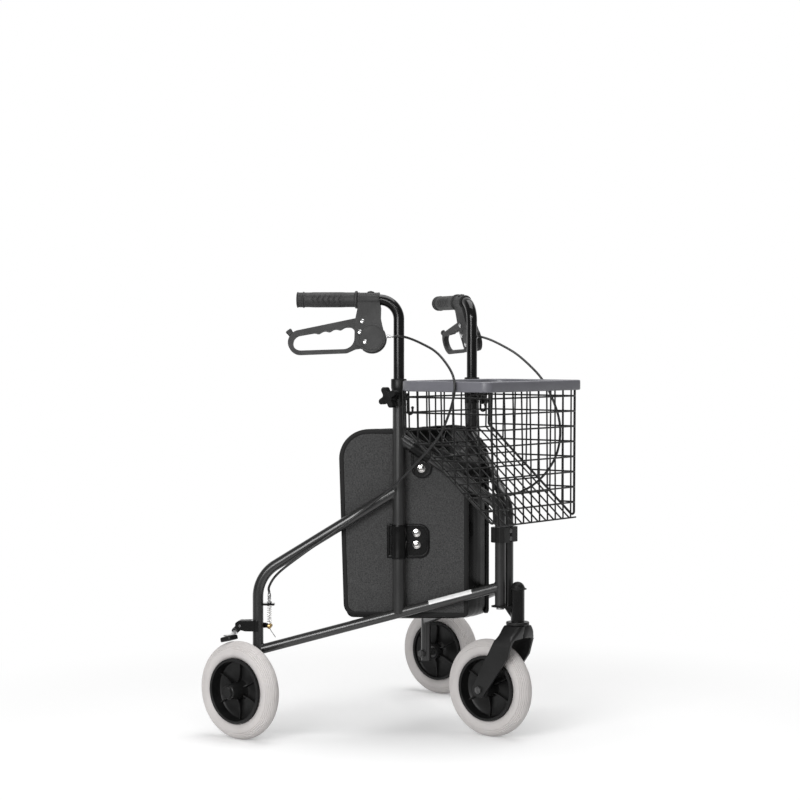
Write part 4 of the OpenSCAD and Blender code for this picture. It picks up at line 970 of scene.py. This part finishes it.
def cable_adjuster(side):
    bm = bmesh.new()
    lathe(bm, [(2.5, 268), (2.5, 278), (3.2, 278.4), (3.6, 279), (3.6, 283), (3, 283.4), (3, 284.4), (3.6, 284.8),
               (3.6, 289), (3.2, 291), (3.2, 293), (2.7, 293.2)], steps=24)
    lathe(bm, [(4.4, 272.1), (5, 272.8), (5, 275.4), (4.4, 276.1)], steps=6)
    piece("adjuster_barrel", bm, "frame", "steel", AT_CABLE, side, ["cable_adjuster"])


def return_spring(side):
    bm = bmesh.new()
    count = SPRING_TURNS * TURN_STEPS
    coil = []
    for i in range(count + 1):
        a = 2 * pi * i / TURN_STEPS
        coil.append((SPRING_R * cos(a), SPRING_R * sin(a), 230.2 + 36.1 * i / count))
    sweep(bm, [(SPRING_R, 0, SPRING_FOOT_Z), *coil, (SPRING_R, 0, SPRING_TOP_Z)], 0.7, sides=8)
    spring = piece("return_spring", bm, "frame", "chrome", AT_CABLE, side, ["brake_spring"])
    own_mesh(spring)


def wire_clamp(side):
    """Brass clamp on the arm's end, with the bare wire above it and the cut end below."""
    bm = bmesh.new()
    middle = shift(0, 0, WIRE_CLAMP_Z)
    lathe(bm, [(3.6, -4.4), (4.5, -3.8), (4.5, 3.8), (3.6, 4.4)], middle @ turn(90, "X"), steps=32)
    lathe(bm, [(2.6, 3), (2.6, 6.6), (2.2, 7)], middle @ turn(-40, "Y"), steps=6)
    piece("wire_clamp", bm, "brake", "brass", AT_CABLE, side, ["cable_clamp"])
    bm = bmesh.new()
    sweep(bm, [(0, 0, 226), (0, 0, 262)], BARE_WIRE_R, sides=8)
    cut_end = smooth_curve([(0, 0, 221), (-3, 0, 216), (-8, 0.5, 209), (-13, 1, 202)], 6)
    sweep(bm, cut_end, BARE_WIRE_R, sides=8)
    piece("inner_wire", bm, "brake", "steel", AT_CABLE, side)


def brake_bracket(side):
    """Cable stop, saddle round the rear post and the plates that hold the arm's bolt."""
    bm = bmesh.new()
    inboard = AT_PIVOT @ turn(90, "X")
    lathe(bm, [(6.5, 18.8), (6.5, 21), (5.4, 22.2), (2, 22.2)], inboard, 6)
    lathe(bm, [(3.9, 9), (3.9, 19)], inboard, 24)
    lathe(bm, [(3.4, 13), (3.4, 14.8), (2.8, 15.4), (1, 15.4)], AT_PIVOT @ turn(-90, "X"), 6)
    piece("bracket_bolts", bm, "frame", "dark_steel", IDENTITY, side, bevel=0.3)
    bm = bmesh.new()
    stop = rounded_box(463, 487.6, -8, 8, 3)
    plate(bm, stop, 268, 272, holes=[arc(CABLE_S, 0, 2.6, 0, 345, 23)])
    saddle = arc(REAR_S, 0, 14, -100, 100, 20) + arc(REAR_S, 0, 11.1, 100, -100, 20)
    plate(bm, saddle, 215, 237)
    cheek = rounded([(503, 215), (522, 215), (543, 220), (543, 232), (536, 237), (503, 237)], 4)
    plate(bm, cheek, -13.2, -9.2, STANDING)
    plate(bm, link_outline((508, 226), 11, BRAKE_PIVOT, 10), 9.2, 14.2, STANDING)
    piece("bracket_plates", bm, "frame", "black_paint", AT_SIDE, side, ["brake_bracket"], bevel=0.5)


def brake_arm(side):
    """Arm plate past the inboard side of the rear post, the shoe over the tyre and the strip that joins them."""
    bm = bmesh.new()
    plate(bm, link_outline((CABLE_S, WIRE_CLAMP_Z), 4, BRAKE_PIVOT, 10), 14.5, 18.5, AT_SIDE @ STANDING)
    plate(bm, link_outline(BRAKE_PIVOT, 7.2, ARM_TAIL, 7), 14.7, 18.3, AT_SIDE @ STANDING)
    lathe(bm, [(2.2, 4.6), (2.2, 15)], AT_SIDE @ shift(CABLE_S, 0, WIRE_CLAMP_Z) @ turn(90, "X"), 20)
    piece("arm_plate", bm, "brake", "black_paint", IDENTITY, side, ["brake_arm"], bevel=0.5)
    bm = bmesh.new()
    rings = [(13, 14, -4.6), (14, 15, -3.4), (14, 15, 2.5), (13.4, 14.4, 4.2), (12, 13, 5)]
    loft(bm, [squarish(*ring, 5) for ring in rings], AT_SHOE)
    piece("brake_shoe", bm, "brake", "plastic", IDENTITY, side, bevel=0.4)
    bm = bmesh.new()
    start = AT_SIDE @ Vector((ARM_TAIL[0], -13.4, ARM_TAIL[1]))
    end = AT_SHOE @ Vector((0, 0, 6.2))
    corners = [(-5.5, -1.3), (5.5, -1.3), (5.5, 1.3), (-5.5, 1.3)]
    path = [start + Vector((2, 0, -5)), start, end + Vector((12, 0, 0)), end + Vector((-9, 0, 0))]
    loft(bm, [[p + Vector((0, y, z)) for y, z in corners] for p in path])
    piece("shoe_link", bm, "brake", "steel", IDENTITY, side, bevel=0.4)


# Basket

CAGE_HALF = 150
CAGE_FRONT = 72
CAGE_BACK = UPRIGHT_Y - POST_Y - 28.95
CAGE_LOW_Z = 446.6
LEVEL_PITCH = 31.3
CAGE_HIGH_Z = CAGE_LOW_Z + 6 * LEVEL_PITCH
MESH_PITCH = 30
WIRE_TOP_Z = 712
FRAME_WIRE_R = 2.5
MESH_WIRE_R = 1.7
FLOOR_SHARE = (CAGE_HIGH_Z - CAGE_LOW_Z) / (CAGE_FRONT + CAGE_BACK)


def floor_z(y):
    return CAGE_LOW_Z + FLOOR_SHARE * (y + CAGE_FRONT)


def cage_bar(bm, path, radius, bend=3):
    """A bent wire. The cage draws in a little towards its floor."""
    points = []
    for p in rounded(path, bend, 5, closed=False):
        low = (WIRE_TOP_Z - p.z) / (WIRE_TOP_Z - CAGE_LOW_Z)
        ahead = (CAGE_BACK - p.y) / (CAGE_BACK + CAGE_FRONT)
        points.append((p.x * (1 - 0.053 * low), p.y - 4 * low * ahead, p.z))
    sweep(bm, points, radius, AT_POSTS, 10)


def basket_cage():
    """Bent wires: columns down the back, along the sloping floor and up the front, rings round them, cross wires."""
    bm = bmesh.new()
    for x in (-CAGE_HALF, CAGE_HALF):
        cage_bar(bm, [(x, CAGE_BACK, WIRE_TOP_Z), (x, CAGE_BACK, CAGE_HIGH_Z), (x, -CAGE_FRONT, CAGE_LOW_Z),
                      (x, -CAGE_FRONT, WIRE_TOP_Z)], FRAME_WIRE_R, 5)
    front = -CAGE_FRONT - 1
    back = CAGE_BACK - 3.1
    for i in range(10):
        x = MESH_PITCH * (i - 4.5)
        cage_bar(bm, [(x, back, WIRE_TOP_Z), (x, back, floor_z(back) - 3), (x, front, floor_z(front) - 3),
                      (x, front, WIRE_TOP_Z)], MESH_WIRE_R)
    side_x = CAGE_HALF + 4.1
    front = -CAGE_FRONT - 4.1
    for i in range(9):
        z = CAGE_LOW_Z + LEVEL_PITCH * i
        reach = min(CAGE_BACK, i * LEVEL_PITCH / FLOOR_SHARE - CAGE_FRONT)
        ring = [(-side_x, reach, z), (-side_x, front, z), (side_x, front, z), (side_x, reach, z)]
        if i == 0:
            ring = [(-CAGE_HALF, front, z), (CAGE_HALF, front, z)]
        if i > 6:
            ring = [(0, CAGE_BACK, z), *ring, (0, CAGE_BACK, z)]
        cage_bar(bm, ring, MESH_WIRE_R, 14)
    for i in range(1, 8):
        y = MESH_PITCH * i - CAGE_FRONT
        x = side_x - 3.1
        cross = [(-x, y, WIRE_TOP_Z), (-x, y, floor_z(y)), (x, y, floor_z(y)), (x, y, WIRE_TOP_Z)]
        cage_bar(bm, cross, MESH_WIRE_R)
    piece("cage_wires", bm, "basket", "wire", replaces=["basket_wires"], sharp=60)


RIM_HALF = 162
RIM_FRONT_Y = -73
RIM_BACK_Y = 144
RIM_FRONT_R = 10
RIM_BACK_R = 36
RIM_Z = 719.5


def basket():
    """The rim's band round its middle line, and the cage."""
    front = (RIM_HALF - RIM_FRONT_R, RIM_FRONT_Y + RIM_FRONT_R, RIM_FRONT_R)
    back = (RIM_HALF - RIM_BACK_R, RIM_BACK_Y - RIM_BACK_R, RIM_BACK_R)
    path = []
    for hand, (x, y, r), start in ((1, front, 270), (1, back, 0), (-1, back, 90), (-1, front, 180)):
        path += [(*p, RIM_Z) for p in arc(hand * x, y, r, start, start + 90, 12)]
    bm = bmesh.new()
    edging(bm, path, rounded_box(-8, 8, -10.5, 10.5, 3.2, 4), (0, 0, 1), AT_POSTS)
    piece("rim_band", bm, "basket", "rim", replaces=["basket_rim"], sharp=60)
    basket_cage()


# Bag

PANEL_N = -18.5
PANEL_MIDDLE = Vector((200, 430))
# Rings of a panel: share of the way to its middle, and half thickness
PANEL_RINGS = [(0.0, 1.6), (0.02, 2.3), (0.06, 2.5), (0.15, 2.9), (0.35, 3.2), (0.65, 3.4), (0.97, 3.4)]


def panel_outline():
    """The panel's outline, with a large shoulder at the top rear and a rear edge that leans."""
    return (arc(271, 569, 60, 0, 90, 14) + [(207, 629)] + arc(74, 554, 8, 115, 180, 5)
            + arc(76, 256, 10, 180, 270, 6) + arc(297, 271, 25, 270, 357, 10))


def inward(outline, distance):
    """The outline drawn towards its middle by a distance."""
    points = [Vector(p) for p in outline]
    out = []
    for i, p in enumerate(points):
        ahead = points[(i + 1) % len(points)] - points[i - 1]
        left = Vector((-ahead.y, ahead.x)).normalized()
        out.append(p + left * distance)
    return out


def dense(outline, step):
    """The outline with points no further apart than a step."""
    out = []
    for i, p in enumerate(outline):
        p = Vector(p)
        q = Vector(outline[(i + 1) % len(outline)])
        count = max(1, math.ceil((q - p).length / step))
        out += [p.lerp(q, k / count) for k in range(count)]
    return out


def bag_panel(side):
    outline = dense(panel_outline(), 12)
    bm = bmesh.new()
    rings = []
    for depth in (1, -1):
        for t, bulge in PANEL_RINGS[::-depth]:
            ring = []
            for p in outline:
                q = p.lerp(PANEL_MIDDLE, t)
                wave = 0.5 * sin(q.x / 23 + 1.3) * sin(q.y / 31) * min(1, 6 * t)
                ring.append((q.x, PANEL_N + depth * bulge + wave, q.y))
            rings.append(ring)
    loft(bm, rings)
    panel = piece("bag_side", bm, "frame", "cloth", AT_SIDE, side, ["bag_panel"], sharp=70, weave=True)
    bm = bmesh.new()
    path = [(p.x, PANEL_N, p.y) for p in inward(outline, 4.2)]
    section = rounded([(-4.8, -3.1), (4.8, -3.5), (4.8, 3.5), (-4.8, 3.1)], 1.6, 3)
    edging(bm, path, section, (0, -1, 0))
    binding = piece("bag_binding", bm, "frame", "binding", AT_SIDE, side, sharp=60)


def plan(s, n):
    """X and Y from the posts of a point s along the side frame and n outboard, on the left."""
    a = radians(SPLAY)
    return POST_HALF + s * sin(a) + n * cos(a), s * cos(a) - n * sin(a)


STRIP_STEP = 9
STRIP_ACROSS = 48
STRIP_THICK = 1.6
# Half width at which the folds have their full height
FULL_HALF = 170
# Ends above this height are free, and crumple over some rows
LIP_LOW_Z = 300
LIP_ROWS = 6


def slack_strip(name, look, profile, half_at, sag, swell, replaces=(), weave=False):
    """A strip held along both edges by the panels, with soft folds; profile runs in Y and Z."""
    path = []
    for a, b in zip(profile, profile[1:]):
        count = max(1, round((b - a).length / STRIP_STEP))
        path += [a.lerp(b, k / count) for k in range(count)]
    path.append(profile[-1])
    last = len(path) - 1
    bm = bmesh.new()
    rows = []
    for i, p in enumerate(path):
        ahead = (path[min(i + 1, last)] - path[max(i - 1, 0)]).normalized()
        inside = Vector((-ahead.y, ahead.x))
        half = half_at(p.x)
        row = []
        for k in range(STRIP_ACROSS + 1):
            u = -1 + 2 * k / STRIP_ACROSS
            slack = 1 - u * u
            fold = 0.009 * sin(5 * pi * u + 0.6) + 0.012 * sin(3 * pi * u + p.y / 46 + p.x / 50)
            fold *= half * half / FULL_HALF
            belly = (swell * half + 2) * slack * (0.6 + 0.4 * cos(p.y / 85 + p.x / 60))
            edge = max(0, 1 - min(i, last - i) / LIP_ROWS) if p.y > LIP_LOW_Z else 0
            crumple = 0.2 * sag * edge * (sin(9 * u + 2) + 0.6 * sin(17 * u + 0.9 * i))
            q = p + inside * ((fold + crumple) * slack - belly)
            row.append(bm.verts.new((half * u, q.x, q.y - sag * slack * edge * (1 + 0.2 * sin(4 * u + 1)))))
        rows.append(row)
    for a, b in zip(rows, rows[1:]):
        for k in range(STRIP_ACROSS):
            bm.faces.new((a[k], a[k + 1], b[k + 1], b[k]))
    strip = piece(name, bm, "front_hinge", look, AT_POSTS, replaces=replaces, sharp=80, weave=weave)
    thick = strip.modifiers.new("Thickness", "SOLIDIFY")
    thick.thickness = STRIP_THICK * 0.001
    thick.offset = 0
    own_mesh(strip)
    width = 2 * max(half_at(p.x) for p in path) * 0.001


# The gusset's edges: distance outboard of the side frame, and along it at the front, at the lip and at the back
INNER_N = -22.5
GUSSET_FRONT_S = 68
GUSSET_LIP_S = 150
GUSSET_BACK_S = 318


def bag_gusset():
    """Slack vinyl down the front and under the bottom, and cloth up the back, held by the two panels."""
    front_x, front_y = plan(GUSSET_FRONT_S, INNER_N)
    back_x, back_y = plan(GUSSET_BACK_S, INNER_N)

    def half_at(y):
        return front_x + (back_x - front_x) * (y - front_y) / (back_y - front_y)

    lip_y = plan(GUSSET_LIP_S, INNER_N)[1]
    corners = [(lip_y, 597), (front_y + 8, 558), (front_y, 540), (front_y, 243), (back_y - 4, 243), (back_y, 262)]
    bottom = rounded(corners, 24, 8, closed=False)
    slack_strip("bag_gusset_strip", "vinyl", bottom, half_at, 20, 0.06, ["bag_gusset"])
    rear_edge = [(GUSSET_BACK_S, 258), (330, 569)] + arc(270, 569, 60, 6, 90, 12)
    rear = [Vector((plan(s, INNER_N)[1], z)) for s, z in rear_edge]
    slack_strip("bag_rear", "cloth", rear, half_at, 5, 0.01, weave=True)


def wrap(bm, r_in, r_out, low, high, at):
    """A band round a tube, with slightly rolled edges."""
    lathe(bm, [(r_in, low), (r_out - 0.4, low), (r_out + 0.3, low + 1.2), (r_out, low + 4), (r_out, high - 4),
               (r_out + 0.3, high - 1.2), (r_out - 0.4, high), (r_in, high)], at, 56, closed=True)


STRAP_LOW_Z = 366
STRAP_HIGH_Z = 436
TONGUE_S = 161
VINYL_IN = 13.1
VINYL_OUT = 15.3


def bag_straps(side):
    """A wrap round the upright with its flap, a wrap round the front tube with its tongue, and their press studs."""
    bm = bmesh.new()
    wrap(bm, 12.8, 15.2, STRAP_LOW_Z, STRAP_HIGH_Z, shift(UPRIGHT_S, 0, 0))
    flap = [(233, STRAP_LOW_Z), (233, STRAP_HIGH_Z)] + arc(165, 416, 20, 90, 180, 8) + arc(165, 386, 20, 180, 270, 8)
    plate(bm, flap, VINYL_IN, VINYL_OUT, STANDING)
    front_share = (FRONT_JOINT_Z - FRONT_CORNER_Z) / UPRIGHT_S
    lean = math.degrees(math.atan(front_share))
    tube_z = FRONT_CORNER_Z + front_share * TONGUE_S
    wrap(bm, 11.1, 13.4, -22, 22, shift(TONGUE_S, 0, tube_z) @ turn(90 - lean, "Y"))
    tongue = [(184, 600), (139, 572), (138, 556), (143, 538), (154, 530), (168, 530), (180, 539), (184, 556)]
    tongue = rounded(tongue, 12, 5)
    plate(bm, tongue, VINYL_IN, VINYL_OUT, STANDING)
    hem = rounded_box(-2.6, 2.6, -1.5, 1.5, 1.2, 3)
    for outline in (flap, tongue):
        edging(bm, [(p.x, -13.6, p.y) for p in inward(dense(outline, 6), 3.5)], hem, (0, -1, 0))
    strap = piece("strap_vinyl", bm, "frame", "vinyl", AT_SIDE, side, ["bag_straps"], bevel=0.7, sharp=50)
    bm = bmesh.new()
    for s, z in ((172, 418), (172, 394), (162, 550)):
        head = shift(s, -13.2, z) @ turn(-90, "X")
        lathe(bm, [(8.2, 0), (8.2, 0.6), (7.6, 1), (7.2, 1.1)], head, 32)
        dome(bm, 6.6, 3.4, head @ shift(0, 0, 0.8))
    dome(bm, 2.4, 1.6, shift(139, -15.2, 561) @ turn(-90, "X"))
    studs = piece("press_studs", bm, "frame", "chrome", AT_SIDE, side)


def blank_strip():
    """A bare label on the right lower tube."""
    up = Vector((-LOWER_FALL, 0, 1)).normalized()
    section = arc(0, 0, LOWER_R + 0.12, 12, 74, 10) + arc(0, 0, LOWER_R - 0.3, 74, 12, 10)
    rings = []
    for s in (57, 100, 144):
        middle = Vector((s, 0, LOWER_FRONT_Z + LOWER_FALL * s))
        rings.append([middle + Vector((0, x, 0)) + up * y for x, y in section])
    bm = bmesh.new()
    loft(bm, rings)
    piece("tube_label", bm, "frame", "label", AT_SIDE, "right")


stage()
for side in SIDES:
    brake_cable(side)
wheels()
fork()
hinge()
for side in SIDES:
    frame_tubes(side)
    collar(side)
    knob(side)
    grip(side)
    brake_housing(side)
    brake_fittings(side)
    brake_lever(side)
    cable_adjuster(side)
    return_spring(side)
    wire_clamp(side)
    brake_bracket(side)
    brake_arm(side)
    bag_panel(side)
    bag_straps(side)
basket()
bag_gusset()
blank_strip()
dress("graphite", *both("lower_tube", "upright_tube", "rear_tube", "front_tube"))
dress("black_paint", *both("handle_tube"))
